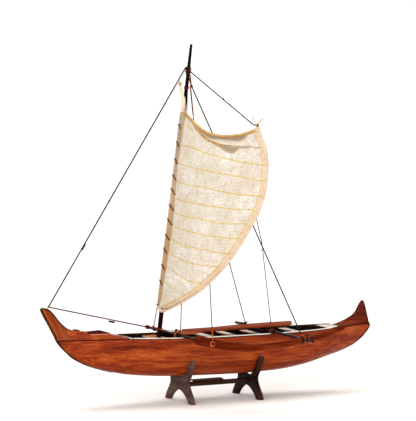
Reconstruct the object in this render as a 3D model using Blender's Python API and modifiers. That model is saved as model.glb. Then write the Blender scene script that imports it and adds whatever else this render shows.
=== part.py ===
"""Display model of an outrigger sailing canoe on its wooden cradle.

Metres, +Z up. X runs from bow to stern, the float (ama) lies on the -Y side.
Inside the script X is counted from the front crossbeam, Y from the hull's middle plane
and Z from the table. ORIGIN_X and ORIGIN_Y then put the middle of the whole model at 0, 0.
"""
import bpy
import bmesh
import math
import numpy as np
from mathutils import Matrix, Vector

# Whole model
ORIGIN_X = 0.0699
ORIGIN_Y = -0.0786
GAP = 0.0003                    # clearance between pieces that touch

# Hull: one row per section from stem to stern
# columns: x, half_beam, sheer_z, keel_z, fullness (2.5 is round, 1.3 is a sharp V)
HULL_SECTIONS = (
    (-0.2070, 0.0024, 0.1142, 0.1134, 1.3),
    (-0.1990, 0.0042, 0.1143, 0.1040, 1.3),
    (-0.1785, 0.0098, 0.1143, 0.0847, 1.5),
    (-0.1515, 0.0176, 0.1141, 0.0706, 1.7),
    (-0.1070, 0.0272, 0.1136, 0.0567, 2.0),
    (-0.0700, 0.0330, 0.1122, 0.0497, 2.2),
    (0.0000, 0.0412, 0.1096, 0.0441, 2.5),
    (0.0620, 0.0436, 0.1082, 0.0422, 2.6),
    (0.1230, 0.0436, 0.1076, 0.0411, 2.6),
    (0.1850, 0.0420, 0.1072, 0.0421, 2.5),
    (0.2400, 0.0368, 0.1072, 0.0477, 2.3),
    (0.2950, 0.0252, 0.1082, 0.0601, 1.9),
    (0.3420, 0.0106, 0.1094, 0.0755, 1.6),
    (0.3650, 0.0044, 0.1097, 0.0917, 1.3),
    (0.3755, 0.0024, 0.1090, 0.1042, 1.3),
)
HULL_STATIONS = 46
HULL_GIRTH = 14                 # points from keel to sheer
HULL_WALL = 0.0032
HULL_BOTTOM = 0.0050
COCKPIT_FRONT_X = -0.0960
COCKPIT_BACK_X = 0.2960
COCKPIT_END = 0.0300            # length over which the cockpit closes to a point

# Gunwale rails
RAIL_FRONT_X = -0.0815
RAIL_BACK_X = 0.3090
RAIL_WIDTH = 0.0032
RAIL_HEIGHT = 0.0024
RAIL_OVERHANG = 0.0004

# Bow cover: one row per ring, from the tip of the prow aft
# columns: low_x, low_z, top_x, top_z, low_half_width, squareness (2 is an arch, 5 is a slab)
PROW_RINGS = (
    (-0.2357, 0.1690, -0.2330, 0.1696, 0.0016, 3.0),
    (-0.2332, 0.1630, -0.2225, 0.1668, 0.0024, 4.0),
    (-0.2277, 0.1525, -0.2150, 0.1606, 0.0027, 4.5),
    (-0.2213, 0.1415, -0.2080, 0.1524, 0.0029, 4.5),
    (-0.2153, 0.1305, -0.2005, 0.1436, 0.0031, 4.0),
    (-0.2106, 0.1218, -0.1938, 0.1376, 0.0034, 3.5),
)
# columns: x, crown_z (top of the cover on the middle plane), squareness
COVER_CROWN = (
    (-0.2068, 0.1345, 3.2),
    (-0.1930, 0.1323, 3.2),
    (-0.1780, 0.1304, 3.2),
    (-0.1650, 0.1285, 3.2),
    (-0.1560, 0.1272, 3.2),
    (-0.1190, 0.1222, 3.0),
    (-0.1060, 0.1194, 2.8),
    (-0.0870, 0.1158, 2.4),
)
COVER_STATIONS = 26
COVER_BACK_X = -0.0870
# Square-edged bands across the cover, flat on top, columns: start_x, end_x, top_z, squareness
COVER_BANDS = (
    (-0.1730, -0.1690, 0.1310, 9.0),
    (-0.1551, -0.1200, 0.1251, 9.0),
)

# Stern cover with its fin, columns: x, crown_z, squareness
FIN_CROWN = (
    (0.3130, 0.1106, 2.0),
    (0.3190, 0.1153, 2.4),
    (0.3305, 0.1199, 3.0),
    (0.3420, 0.1255, 3.5),
    (0.3496, 0.1332, 4.0),
    (0.3554, 0.1443, 4.5),
    (0.3600, 0.1493, 4.5),
    (0.3630, 0.1498, 4.5),
)
# columns: x at the foot, x at the top, crown_z of the fin's back edge
FIN_BACK = (
    (0.3690, 0.3646, 0.1486),
    (0.3748, 0.3655, 0.1462),
)
FIN_TOP_HALF = 0.0019

# Thwarts, columns: name, x, length along the hull
THWARTS = (
    ("thwart_1", -0.0765, 0.0100),
    ("thwart_2", 0.0670, 0.0160),
    ("thwart_3", 0.1110, 0.0130),
    ("thwart_4", 0.1560, 0.0130),
    ("thwart_5", 0.2270, 0.0140),
)
THWART_THICK = 0.0024
THWART_DROP = 0.0006            # top of a thwart below the sheer
MAST_THWART_X = -0.0225
MAST_THWART_LENGTH = 0.0240
STERN_DECK_X = (0.2860, 0.3110)
STERN_DECK_THICK = 0.0012

# Crossbeams (iakos), columns: name, x, far_y, near_y, z
IAKOS = (
    ("iako_front", 0.0010, 0.0895, -0.1555, 0.1151),
    ("iako_rear", 0.1670, 0.0860, -0.1880, 0.1134),
)
IAKO_RADIUS = 0.0024

# Float (ama), columns: x, centre_z, half_height
AMA_SECTIONS = (
    (-0.0267, 0.1219, 0.0029),
    (-0.0245, 0.1214, 0.0060),
    (-0.0150, 0.1199, 0.0081),
    (0.0058, 0.1149, 0.0076),
    (0.0340, 0.1090, 0.0070),
    (0.0728, 0.1047, 0.0061),
    (0.1116, 0.1057, 0.0053),
    (0.1456, 0.1098, 0.0050),
    (0.1738, 0.1151, 0.0052),
    (0.2000, 0.1208, 0.0056),
    (0.2233, 0.1275, 0.0048),
    (0.2352, 0.1312, 0.0040),
)
AMA_FRONT_Y = -0.1435           # middle of the float at the front crossbeam
AMA_REAR_Y = -0.1610            # and at the rear one
AMA_FLATNESS = 0.92             # width over height
AMA_SQUARENESS = 3.4            # 2 is round
AMA_STATIONS = 30
AMA_GIRTH = 24

# Deck board across the crossbeams: outline seen from above, front end first, (x, y)
BOARD_OUTLINE = (
    (0.0190, -0.0050), (0.0125, -0.0190), (0.0075, -0.0295), (0.0005, -0.0310), (0.0000, -0.0430),
    (0.0090, -0.0480), (0.0215, -0.0480), (0.0400, -0.0368), (0.0600, -0.0315),
    (0.0850, -0.0300), (0.1340, -0.0242), (0.1740, -0.0248), (0.2060, -0.0235),
    (0.2180, -0.0180), (0.2290, 0.0020), (0.2290, 0.0095), (0.1920, 0.0095),
    (0.1340, 0.0070), (0.0750, -0.0045),
)
BOARD_THICK = 0.0036
CLEAT_X = 0.1402
CLEAT_Y = 0.0042

# Mast
MAST_DECK = (-0.0207, 0.1110)   # x, z where it passes the mast thwart
MAST_TOP_Z = 0.5925
MAST_RAKE = math.atan(0.1253)
# columns: z, radius
MAST_TAPER = ((0.050, 0.0039), (0.200, 0.0037), (0.400, 0.0034), (0.540, 0.0029), (0.5925, 0.0021))
COLLAR_Z = 0.5205
MASTHEAD_Z = 0.5490
PARTNER_RING_Z = 0.1230

# Spars and sail
YARD_RADIUS = 0.0016
YARD_FOOT_Z = 0.1570
# columns: z, distance ahead of the mast axis, distance outboard of it
YARD_BEND = (
    (0.157, 0.0083, 0.0012), (0.250, 0.0077, 0.0012), (0.300, 0.0066, 0.0012), (0.350, 0.0061, 0.0012),
    (0.450, 0.0058, 0.0014), (0.485, 0.0062, 0.0036), (0.500, 0.0070, 0.0060), (0.518, 0.0142, 0.0070),
    (0.533, 0.0182, 0.0070),
)
BOOM_RADIUS = 0.0020
# Boom's axis, columns: outboard of the mast, z
BOOM_COURSE = (
    (0.0060, 0.1530), (0.0180, 0.1566), (0.0410, 0.1652), (0.0750, 0.1799), (0.1084, 0.1966),
    (0.1332, 0.2131), (0.1570, 0.2315), (0.1845, 0.2582), (0.2030, 0.2805), (0.2180, 0.3040),
    (0.2305, 0.3247), (0.2380, 0.3405), (0.2422, 0.3572), (0.2435, 0.3740), (0.2411, 0.3967),
    (0.2366, 0.4161), (0.2297, 0.4313), (0.2219, 0.4424), (0.2105, 0.4554), (0.1965, 0.4720),
)
# Heading of the sail, degrees from straight aft towards the float, columns: z, angle
SAIL_HEADING = ((0.150, 84.5), (0.470, 79.0))
SAIL_BACKSET = 0.0030           # sail's plane ahead of the mast axis
SAIL_THICK = 0.0009
SAIL_BELLY = 0.0210             # how far the cloth bows forward at its middle
SAIL_FOOT_Z = 0.1610
SAIL_HEAD_Z = 0.4845
# How far the cloth's top edge hangs below the line between its corners, columns: across, drop
SAIL_HEAD_DROP = (
    (0.00, 0.0000), (0.05, 0.0036), (0.10, 0.0083), (0.20, 0.0168), (0.30, 0.0234), (0.40, 0.0262),
    (0.50, 0.0259), (0.60, 0.0240), (0.70, 0.0201), (0.80, 0.0153), (0.90, 0.0084), (1.00, 0.0000),
)
SAIL_COLUMNS = 14
SAIL_ROWS = 20
SAIL_LUFF_OUT = 0.0024          # cloth starts this far outboard of the yard axis
SAIL_LEECH_IN = 0.0028          # and ends this far short of the boom axis

# Threads, fixings and lashings
THREAD_RADIUS = 0.00065
STAY_RADIUS = 0.0008            # forestay and bow line
KNOT_FACTOR = 1.9               # knot radius over thread radius
SEAT = 0.0005                   # end of a thread above what it sits on
LASHING_THICK = 0.0012
AMA_END_LASHING = 0.0024        # lashing on the front crossbeam outside the float
BOW_EYE = Vector((-0.2225, 0.0, 0.1697))
EYE_RADIUS = 0.0017
EYE_WIRE = 0.0005
EYE_REACH = EYE_RADIUS + EYE_WIRE + SEAT
BOW_LINE_LIFT = 0.1400          # tilts the bow line's start towards the top of the eye
SHROUD_KNOT = (0.0340, -0.0105, 0.5240)
IAKO_END_Y = 0.0855
IAKO_FAR_Y = 0.0580
GUNWALE_FRONT_Y = -0.0262
GUNWALE_REAR_Y = -0.0475
BOARD_LASHING_Y = -0.0080
BACKSTAY_FOOT_Y = -0.1530
BACKSTAY_CROSSING = 0.631       # share of the backstay where the upper sheet crosses it
SHROUD_GUNWALE_FOOT = (0.0030, -0.0330)
SHROUD_NEAR_BEND = Vector((0.0072, -0.1308, 0.2090))
LIFT_BEND = Vector((0.0602, -0.1800, 0.4731))
SHEET_UPPER_Z = 0.3270
SHEET_UPPER_FOOT = (0.1875, -0.0012)
SHEET_LOWER_Z = 0.2503

# Stand
# columns: name, x, board thickness, how far the cradle's middle hangs below the keel
FRAMES = (
    ("stand_frame_fore", 0.0190, 0.0078, 0.0000),
    ("stand_frame_aft", 0.1452, 0.0088, 0.0030),
)
HOLLOW_HALF_WIDTH = 0.0280
# Half outline of a stand frame, (half width, z), foot first, up the outside, down the cradle
FRAME_OUTER = (
    (0.0500, 0.0000), (0.0440, 0.0110), (0.0345, 0.0220), (0.0292, 0.0310), (0.0298, 0.0375),
    (0.0365, 0.0460), (0.0430, 0.0565), (0.0490, 0.0665), (0.0500, 0.0715), (0.0478, 0.0735),
)
FRAME_ARCH = ((0.0000, 0.0205), (0.0095, 0.0196), (0.0180, 0.0160), (0.0262, 0.0108), (0.0325, 0.0058), (0.0368, 0.0000))
CRADLE_CLEARANCE = 0.0004
STRINGER_Z = 0.0277
STRINGER_RADIUS = 0.0042
PLAQUE_X = (0.0415, 0.0960)
PLAQUE_SIZE = (0.0140, 0.0026)      # width, height

COLOURS = {
    "hull_wood": ((0.43, 0.10, 0.03), 0.25),
    "dark_wood": ((0.17, 0.035, 0.012), 0.3),
    "stand_wood": ((0.03, 0.014, 0.012), 0.3),
    "mast_wood": ((0.02, 0.005, 0.004), 0.3),
    "rail_paint": ((0.80, 0.74, 0.64), 0.45),
    "board_wood": ((0.25, 0.045, 0.014), 0.3),
    "cane": ((0.55, 0.34, 0.16), 0.5),
    "sail_cloth": ((0.86, 0.80, 0.66), 0.9),
    "red_cord": ((0.48, 0.09, 0.03), 0.8),
    "thread": ((0.12, 0.09, 0.07), 0.8),
    "brass_wire": ((0.45, 0.42, 0.36), 0.3),
}
METALS = {"brass_wire"}


def clear_scene():
    for obj in list(bpy.data.objects):
        bpy.data.objects.remove(obj, do_unlink=True)


def new_collection(name):
    collection = bpy.data.collections.new(name)
    bpy.context.scene.collection.children.link(collection)
    return collection


def make_material(name):
    colour, roughness = COLOURS[name]
    material = bpy.data.materials.new(name)
    material.use_nodes = True
    shader = material.node_tree.nodes["Principled BSDF"]
    shader.inputs["Base Color"].default_value = (*colour, 1.0)
    shader.inputs["Roughness"].default_value = roughness
    shader.inputs["Metallic"].default_value = 1.0 if name in METALS else 0.0
    return material


clear_scene()
CANOE = new_collection("outrigger_canoe_model")
CUTTERS = new_collection("cutters")
MATERIALS = {name: make_material(name) for name in COLOURS}
ROOT = bpy.data.objects.new("canoe_origin", None)
ROOT.location = (-ORIGIN_X, -ORIGIN_Y, 0.0)
CANOE.objects.link(ROOT)


def add_piece(name, data, material):
    """Link an object for mesh or curve data under the root empty."""
    obj = bpy.data.objects.new(name, data)
    obj.parent = ROOT
    CANOE.objects.link(obj)
    data.materials.append(MATERIALS[material])
    return obj


def finish_mesh(name, mesh_maker, material, smooth_angle=40.0):
    mesh = bpy.data.meshes.new(name)
    bmesh.ops.recalc_face_normals(mesh_maker, faces=mesh_maker.faces)
    mesh_maker.to_mesh(mesh)
    mesh_maker.free()
    mesh.shade_smooth()
    mesh.set_sharp_from_angle(angle=math.radians(smooth_angle))
    return add_piece(name, mesh, material)


def cut(obj, cutter):
    """Subtract a closed mesh object from another."""
    for collection in list(cutter.users_collection):
        collection.objects.unlink(cutter)
    CUTTERS.objects.link(cutter)
    cutter.hide_render = True
    cutter.display_type = "WIRE"
    modifier = obj.modifiers.new(cutter.name, "BOOLEAN")
    modifier.operation = "DIFFERENCE"
    modifier.solver = "EXACT"
    modifier.object = cutter


def smooth_value(table, column, x, key=0):
    """Read one column of a table at x, on a curve through its rows that never overshoots."""
    xs = np.array([row[key] for row in table])
    ys = np.array([row[column] for row in table])
    if x <= xs[0]:
        return float(ys[0])
    if x >= xs[-1]:
        return float(ys[-1])
    widths = np.diff(xs)
    slopes = np.diff(ys) / widths
    tangents = np.zeros(len(xs))
    tangents[0] = slopes[0]
    tangents[-1] = slopes[-1]
    for i in range(1, len(xs) - 1):
        if slopes[i - 1] * slopes[i] > 0:
            w1 = 2 * widths[i] + widths[i - 1]
            w2 = widths[i] + 2 * widths[i - 1]
            tangents[i] = (w1 + w2) / (w1 / slopes[i - 1] + w2 / slopes[i])
    i = int(np.searchsorted(xs, x)) - 1
    t = (x - xs[i]) / widths[i]
    start = (1 + 2 * t) * (1 - t) ** 2 * ys[i] + t * (1 - t) ** 2 * widths[i] * tangents[i]
    end = t * t * (3 - 2 * t) * ys[i + 1] + t * t * (t - 1) * widths[i] * tangents[i + 1]
    return float(start + end)


def bridge_rings(rings, closed_path=False):
    """Loft closed rings of equal length; the ends are capped unless the path is closed."""
    maker = bmesh.new()
    verts = [[maker.verts.new(point) for point in ring] for ring in rings]
    pairs = list(zip(verts, verts[1:]))
    if closed_path:
        pairs.append((verts[-1], verts[0]))
    count = len(verts[0])
    for ring_a, ring_b in pairs:
        for i in range(count):
            j = (i + 1) % count
            maker.faces.new((ring_a[i], ring_a[j], ring_b[j], ring_b[i]))
    if not closed_path:
        maker.faces.new(verts[0])
        maker.faces.new(verts[-1][::-1])
    return maker


def spaced(low, high, count, crowd=0.0):
    """Even spacing, or crowded towards both ends as crowd goes to 1."""
    values = []
    for i in range(count):
        t = i / (count - 1)
        eased = 0.5 - 0.5 * math.cos(math.pi * t)
        values.append(low + (high - low) * ((1 - crowd) * t + crowd * eased))
    return values


# Hull

def hull_at(x):
    """Half beam, sheer height, keel height and fullness of the hull at x."""
    return tuple(smooth_value(HULL_SECTIONS, column, x) for column in (1, 2, 3, 4))


def half_section(beam, sheer, keel, fullness, count):
    """Points (y, z) of one side from keel to sheer."""
    points = []
    for i in range(count):
        angle = math.pi / 2 * i / (count - 1)
        y = beam * math.sin(angle) ** (2 / fullness)
        z = sheer - (sheer - keel) * max(math.cos(angle), 0.0) ** (2 / (fullness + 0.15))
        points.append((y, z))
    return points


def section_half_width(beam, sheer, keel, fullness, z):
    """Half width of a section at a height below its sheer."""
    rise = (z - keel) / (sheer - keel)
    if rise <= 0:
        return 0.0
    if rise >= 1:
        return beam
    return beam * (1 - (1 - rise) ** (fullness + 0.15)) ** (1 / fullness)


def hull_half_width_at(x, z):
    return section_half_width(*hull_at(x), z)


def full_ring(x, half):
    """Close a half section across the middle plane: far side down, near side up."""
    far = [(x, y, z) for y, z in reversed(half)]
    near = [(x, -y, z) for y, z in half[1:]]
    return far + near


def make_hull():
    first, last = HULL_SECTIONS[0][0], HULL_SECTIONS[-1][0]
    rings = []
    for x in spaced(first, last, HULL_STATIONS, crowd=0.55):
        rings.append(full_ring(x, half_section(*hull_at(x), HULL_GIRTH)))
    hull = finish_mesh("hull", bridge_rings(rings), "hull_wood")
    cut(hull, make_cockpit_cutter())
    return hull


def cockpit_fraction(x):
    """1 in the middle of the cockpit, falling to 0 at its two pointed ends."""
    ahead = min(1.0, (x - COCKPIT_FRONT_X) / (COCKPIT_END * 0.4))
    behind = min(1.0, (COCKPIT_BACK_X - x) / COCKPIT_END)
    return math.sqrt(max(0.0, 1 - (1 - ahead) ** 2)) * math.sqrt(max(0.0, 1 - (1 - behind) ** 2))


def cockpit_section(x):
    """Half beam, sheer height, floor height and fullness of the hollow inside the hull."""
    beam, sheer, keel, fullness = hull_at(x)
    share = cockpit_fraction(x)
    return (beam - HULL_WALL) * share, sheer, sheer - (sheer - keel - HULL_BOTTOM) * share, fullness


def cockpit_half_width_at(x, z):
    return section_half_width(*cockpit_section(x), z)


def make_cockpit_cutter():
    inset = 0.0004
    rings = []
    for x in spaced(COCKPIT_FRONT_X + inset, COCKPIT_BACK_X - inset, 40, crowd=0.7):
        inner_beam, sheer, floor, fullness = cockpit_section(x)
        half = half_section(inner_beam, sheer, floor, fullness, HULL_GIRTH)
        half.append((inner_beam, sheer + 0.01))
        rings.append(full_ring(x, half))
    return finish_mesh("cockpit_cutter", bridge_rings(rings), "hull_wood")


def make_rail(name, side):
    rings = []
    for x in spaced(RAIL_FRONT_X, RAIL_BACK_X, 34, crowd=0.2):
        beam, sheer, _, _ = hull_at(x)
        outer = beam + RAIL_OVERHANG
        inner = max(outer - RAIL_WIDTH, 0.0008)
        low, high = sheer + GAP, sheer + GAP + RAIL_HEIGHT
        rings.append([(x, side * outer, low), (x, side * outer, high),
                      (x, side * inner, high), (x, side * inner, low)])
    return finish_mesh(name, bridge_rings(rings), "rail_paint")


def cover_top(x):
    """Crown height and squareness of the bow cover, with its bands."""
    for start, end, top_z, squareness in COVER_BANDS:
        if start <= x <= end:
            return top_z, squareness
    return smooth_value(COVER_CROWN, 1, x), smooth_value(COVER_CROWN, 2, x)


def arch_ring(low, top, half_width, squareness, count=9):
    """Ring in the plane through low and top: flat base, arched over the top."""
    low, top = Vector(low), Vector(top)
    ring = []
    for i in range(2 * count + 1):
        angle = math.pi * i / (2 * count)
        side = math.cos(angle)
        y = half_width * math.copysign(abs(side) ** (2 / squareness), side)
        lift = max(math.sin(angle), 0.0) ** (2 / squareness)
        point = low + (top - low) * lift
        ring.append((point.x, y, point.z))
    return ring


def make_bow_cover():
    rings = []
    for low_x, low_z, top_x, top_z, half_width, squareness in PROW_RINGS:
        rings.append(arch_ring((low_x, 0, low_z), (top_x, 0, top_z), half_width, squareness))
    stations = set(spaced(COVER_CROWN[0][0], COVER_BACK_X, COVER_STATIONS))
    step = 0.0006
    for start, end, _, _ in COVER_BANDS:
        stations.update((start - step, start, end, end + step))
    for x in sorted(stations):
        beam, sheer, _, _ = hull_at(x)
        crown, squareness = cover_top(x)
        lean = max(0.0, -0.1780 - x) * 0.62
        rings.append(arch_ring((x, 0, sheer + GAP), (x + lean, 0, crown), beam, squareness))
    return finish_mesh("bow_cover", bridge_rings(rings), "hull_wood")


def make_stern_cover():
    rings = []
    for x in spaced(FIN_CROWN[0][0], FIN_CROWN[-1][0], 16):
        beam, sheer, _, _ = hull_at(x)
        crown = smooth_value(FIN_CROWN, 1, x)
        rings.append(fin_ring(x, x, beam, sheer, crown))
    for foot_x, top_x, crown in FIN_BACK:
        beam, sheer, _, _ = hull_at(foot_x)
        rings.append(fin_ring(foot_x, top_x, beam, sheer, crown))
    return finish_mesh("stern_cover", bridge_rings(rings), "dark_wood")


def fin_ring(foot_x, top_x, beam, sheer, crown):
    """Hollow-sided ring: as wide as the hull at its foot, a thin fin above."""
    base = sheer + GAP
    height = crown - base
    ring = []
    count = 9
    for side in (1, -1):
        levels = range(count) if side == 1 else range(count - 2, -1, -1)
        for i in levels:
            rise = i / (count - 1)
            waist = min(beam, FIN_TOP_HALF)
            spread = math.exp(-3.2 * rise * height / 0.010)
            half = waist + (beam - waist) * spread
            if i == count - 1:
                half = 0.0
            elif i == count - 2:
                half *= 0.8
            ring.append((foot_x + (top_x - foot_x) * rise, side * half, base + height * rise))
    return ring


def plate(name, outline, bottom_at, thickness, material):
    """Flat plate with a given outline (x, y); its underside follows bottom_at(x)."""
    rings = [[(x, y, bottom_at(x) + rise) for x, y in outline] for rise in (0.0, thickness)]
    return finish_mesh(name, bridge_rings(rings), material, smooth_angle=30.0)


def thwart_outline(x, length, bottom):
    """Four-sided board between the hull's inner faces."""
    corners = []
    for dx, side in ((-1, 1), (-1, -1), (1, -1), (1, 1)):
        corner_x = x + dx * length / 2
        corners.append((corner_x, side * (cockpit_half_width_at(corner_x, bottom) - 2 * GAP)))
    return corners


def make_thwart(name, x, length):
    sheer = min(hull_at(x - length / 2)[1], hull_at(x + length / 2)[1])
    bottom = sheer - THWART_DROP - THWART_THICK
    outline = thwart_outline(x, length, bottom)
    return plate(name, outline, lambda x: bottom, THWART_THICK, "rail_paint")


def make_mast_thwart():
    thwart = make_thwart("mast_thwart", MAST_THWART_X, MAST_THWART_LENGTH)
    hole = mast_cylinder("mast_hole_cutter", MAST_DECK[1] - 0.02, MAST_DECK[1] + 0.02,
                         mast_radius(MAST_DECK[1]) + GAP + 0.0001)
    cut(thwart, hole)
    return thwart


def make_stern_deck():
    outline = []
    start, end = STERN_DECK_X
    for side in (1, -1):
        xs = spaced(start, end, 6)
        for x in (xs if side == 1 else xs[::-1]):
            outline.append((x, side * max(hull_at(x)[0] - RAIL_WIDTH - GAP, 0.0008)))
    return plate("stern_deck", outline, lambda x: hull_at(x)[1] + GAP, STERN_DECK_THICK, "rail_paint")


# Curved rods, threads and rings

def poly_curve(name, points, radius, resolution, radii=None):
    curve = bpy.data.curves.new(name, "CURVE")
    curve.dimensions = "3D"
    curve.bevel_depth = radius
    curve.bevel_resolution = resolution
    curve.use_fill_caps = True
    spline = curve.splines.new("POLY")
    spline.points.add(len(points) - 1)
    for i, point in enumerate(points):
        spline.points[i].co = (*point, 1.0)
        spline.points[i].radius = 1.0 if radii is None else radii[i]
    return curve


def rod(name, points, radius, material, radii=None, resolution=3):
    return add_piece(name, poly_curve(name, points, radius, resolution, radii), material)


def ring_around(name, centre, axis, inner, outer, length, material, sides=20):
    """Plain sleeve with a hole, centred on a point and running along an axis."""
    axis = Vector(axis).normalized()
    turn = axis.to_track_quat("Z", "Y").to_matrix()
    bevel = min(length, outer - inner) * 0.25
    profile = ((inner, -length / 2), (outer - bevel, -length / 2), (outer, -length / 2 + bevel),
               (outer, length / 2 - bevel), (outer - bevel, length / 2), (inner, length / 2))
    rings = []
    for i in range(sides):
        angle = 2 * math.pi * i / sides
        ring = []
        for radius, height in profile:
            local = Vector((radius * math.cos(angle), radius * math.sin(angle), height))
            ring.append(Vector(centre) + turn @ local)
        rings.append(ring)
    return finish_mesh(name, bridge_rings(rings, closed_path=True), material)


def thread(name, start, end, via=(), radius=THREAD_RADIUS):
    """Taut thread with a small knot at each end."""
    route = [Vector(start)] + [Vector(point) for point in via] + [Vector(end)]
    # columns: distance from the thread's end, radius over the thread's own
    knot = ((0.0, 0.9), (0.0004, 1.6), (0.0009, KNOT_FACTOR), (0.0014, 1.6), (0.0020, 1.0))
    first = (route[1] - route[0]).normalized()
    last = (route[-2] - route[-1]).normalized()
    points = [route[0] + first * distance for distance, _ in knot]
    points += route[1:-1]
    points += [route[-1] + last * distance for distance, _ in reversed(knot)]
    swell = [factor for _, factor in knot]
    return rod(name, points, radius, "thread", swell + [1.0] * len(via) + swell[::-1], resolution=2)


# Mast

def mast_x(z):
    return MAST_DECK[0] + math.tan(MAST_RAKE) * (z - MAST_DECK[1])


def mast_point(z):
    return Vector((mast_x(z), 0.0, z))


def mast_radius(z):
    return smooth_value(MAST_TAPER, 1, z)


MAST_AXIS = (math.sin(MAST_RAKE), 0.0, math.cos(MAST_RAKE))


def mast_cylinder(name, low, high, radius, sides=24):
    rings = []
    for z in (low, high):
        centre = mast_point(z)
        rings.append([(centre.x + radius * math.cos(2 * math.pi * i / sides),
                       radius * math.sin(2 * math.pi * i / sides), z) for i in range(sides)])
    return finish_mesh(name, bridge_rings(rings), "mast_wood")


def mast_foot_z():
    """Height where the mast stands on the hull's inner bottom, worked out from the sections."""
    z = 0.05
    for _ in range(8):
        z = cockpit_section(mast_x(z))[2]
    return z + 0.0010


def make_mast():
    foot = mast_foot_z()
    heights = [foot, 0.150, 0.250, 0.350, 0.450, 0.520, 0.560, MAST_TOP_Z - 0.0012, MAST_TOP_Z]
    points = [mast_point(z) for z in heights]
    radii = [mast_radius(z) for z in heights]
    radii[-1] *= 0.6
    base = MAST_TAPER[0][1]
    return rod("mast", points, base, "mast_wood", [r / base for r in radii], resolution=4)


def mast_ring(name, z, thickness, length, material):
    inner = mast_radius(z) + GAP + 0.0002
    return ring_around(name, mast_point(z), MAST_AXIS, inner, inner + thickness, length, material)


# Spars and sail

def yard_point(z):
    return Vector((mast_x(z) - smooth_value(YARD_BEND, 1, z), -smooth_value(YARD_BEND, 2, z), z))


def make_yard():
    heights = spaced(YARD_FOOT_Z, YARD_BEND[-1][0], 30)
    points = [yard_point(z) for z in heights]
    radii = [1.0] * (len(points) - 2) + [0.85, 0.6]
    return rod("yard", points, YARD_RADIUS, "cane", radii, resolution=2)


def sail_heading(z):
    (low_z, low_angle), (high_z, high_angle) = SAIL_HEADING
    share = min(max((z - low_z) / (high_z - low_z), 0.0), 1.0)
    return math.radians(low_angle + (high_angle - low_angle) * share)


def sail_plane_point(outboard, z):
    """Point of the sail's mean surface, outboard of the mast on the float's side."""
    x = mast_x(z) - SAIL_BACKSET + outboard / math.tan(sail_heading(z))
    return Vector((x, -outboard, z))


def boom_outboard(z):
    """How far outboard the boom lies at a height."""
    return smooth_value(BOOM_COURSE, 0, z, key=1)


def make_boom():
    heights = [BOOM_COURSE[0][1] + (BOOM_COURSE[-1][1] - BOOM_COURSE[0][1]) * i / 33 for i in range(34)]
    points = [sail_plane_point(boom_outboard(z), z) for z in heights]
    radii = [1.0] * 34
    radii[-2:] = [0.85, 0.7]
    return rod("boom", points, BOOM_RADIUS, "cane", radii, resolution=2)


def leech_edge(up):
    """Outboard distance and height of the cloth's edge along the boom, up from 0 at the foot to 1."""
    low = BOOM_COURSE[0][1] + 0.0040
    z = low + (BOOM_COURSE[-1][1] - 0.0012 - low) * up
    step = 0.0006
    ahead = boom_outboard(z + step) - boom_outboard(z - step)
    length = math.hypot(ahead, 2 * step)
    return boom_outboard(z) - SAIL_LEECH_IN * 2 * step / length, z + SAIL_LEECH_IN * ahead / length


def sail_point(across, up):
    """Point of the cloth: across 0 at the yard, 1 at the boom; up 0 at the foot, 1 at the head."""
    luff_z = SAIL_FOOT_Z + (SAIL_HEAD_Z - SAIL_FOOT_Z) * up
    luff_out = SAIL_LUFF_OUT + smooth_value(YARD_BEND, 2, luff_z)
    leech_out, leech_z = leech_edge(up)
    outboard = luff_out + (leech_out - luff_out) * across
    hollow = smooth_value(SAIL_HEAD_DROP, 1, across) * up ** 5
    z = luff_z + (leech_z - luff_z) * across - hollow
    point = sail_plane_point(outboard, z)
    belly = SAIL_BELLY * math.sin(math.pi * across) ** 0.85 * math.sin(math.pi * min(up + 0.04, 1.0)) ** 0.6
    luff_lead = SAIL_BACKSET - smooth_value(YARD_BEND, 1, z)
    point.x += -belly + luff_lead * (1 - across) ** 3
    return point


def make_sail():
    """Thin closed sheet: a grid on each face, joined round the edges."""
    grid = []
    for row in range(SAIL_ROWS + 1):
        grid.append([sail_point(column / SAIL_COLUMNS, row / SAIL_ROWS) for column in range(SAIL_COLUMNS + 1)])
    maker = bmesh.new()
    verts = [[maker.verts.new(point) for point in row] for row in grid]
    for lower, upper in zip(verts, verts[1:]):
        for i in range(SAIL_COLUMNS):
            maker.faces.new((lower[i], lower[i + 1], upper[i + 1], upper[i]))
    sail = finish_mesh("sail", maker, "sail_cloth")
    solid = sail.modifiers.new("thickness", "SOLIDIFY")
    solid.thickness = SAIL_THICK
    solid.offset = 0.0
    return sail


# Crossbeams and float

def make_iako(name, x, far_y, near_y, z):
    points = [(x, y, z) for y in spaced(far_y, near_y, 5)]
    return rod(name, points, IAKO_RADIUS, "mast_wood")


def ama_y(x):
    front_x, rear_x = IAKOS[0][1], IAKOS[1][1]
    return AMA_FRONT_Y + (AMA_REAR_Y - AMA_FRONT_Y) * (x - front_x) / (rear_x - front_x)


def ama_ring(x, grow=0.0):
    centre_z = smooth_value(AMA_SECTIONS, 1, x)
    half = smooth_value(AMA_SECTIONS, 2, x) + grow
    ring = []
    for i in range(AMA_GIRTH):
        angle = 2 * math.pi * (i + 0.5) / AMA_GIRTH
        across, up = (math.copysign(abs(value) ** (2 / AMA_SQUARENESS), value)
                      for value in (math.cos(angle), math.sin(angle)))
        ring.append((x, ama_y(x) + half * AMA_FLATNESS * across, centre_z + half * up))
    return ring


def beam_cutter(name, x, z):
    rings = []
    radius = IAKO_RADIUS + GAP
    for y in (-0.20, -0.10):
        rings.append([(x + radius * math.cos(2 * math.pi * i / 20), y,
                       z + radius * math.sin(2 * math.pi * i / 20)) for i in range(20)])
    return finish_mesh(name, bridge_rings(rings), "mast_wood")


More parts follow.
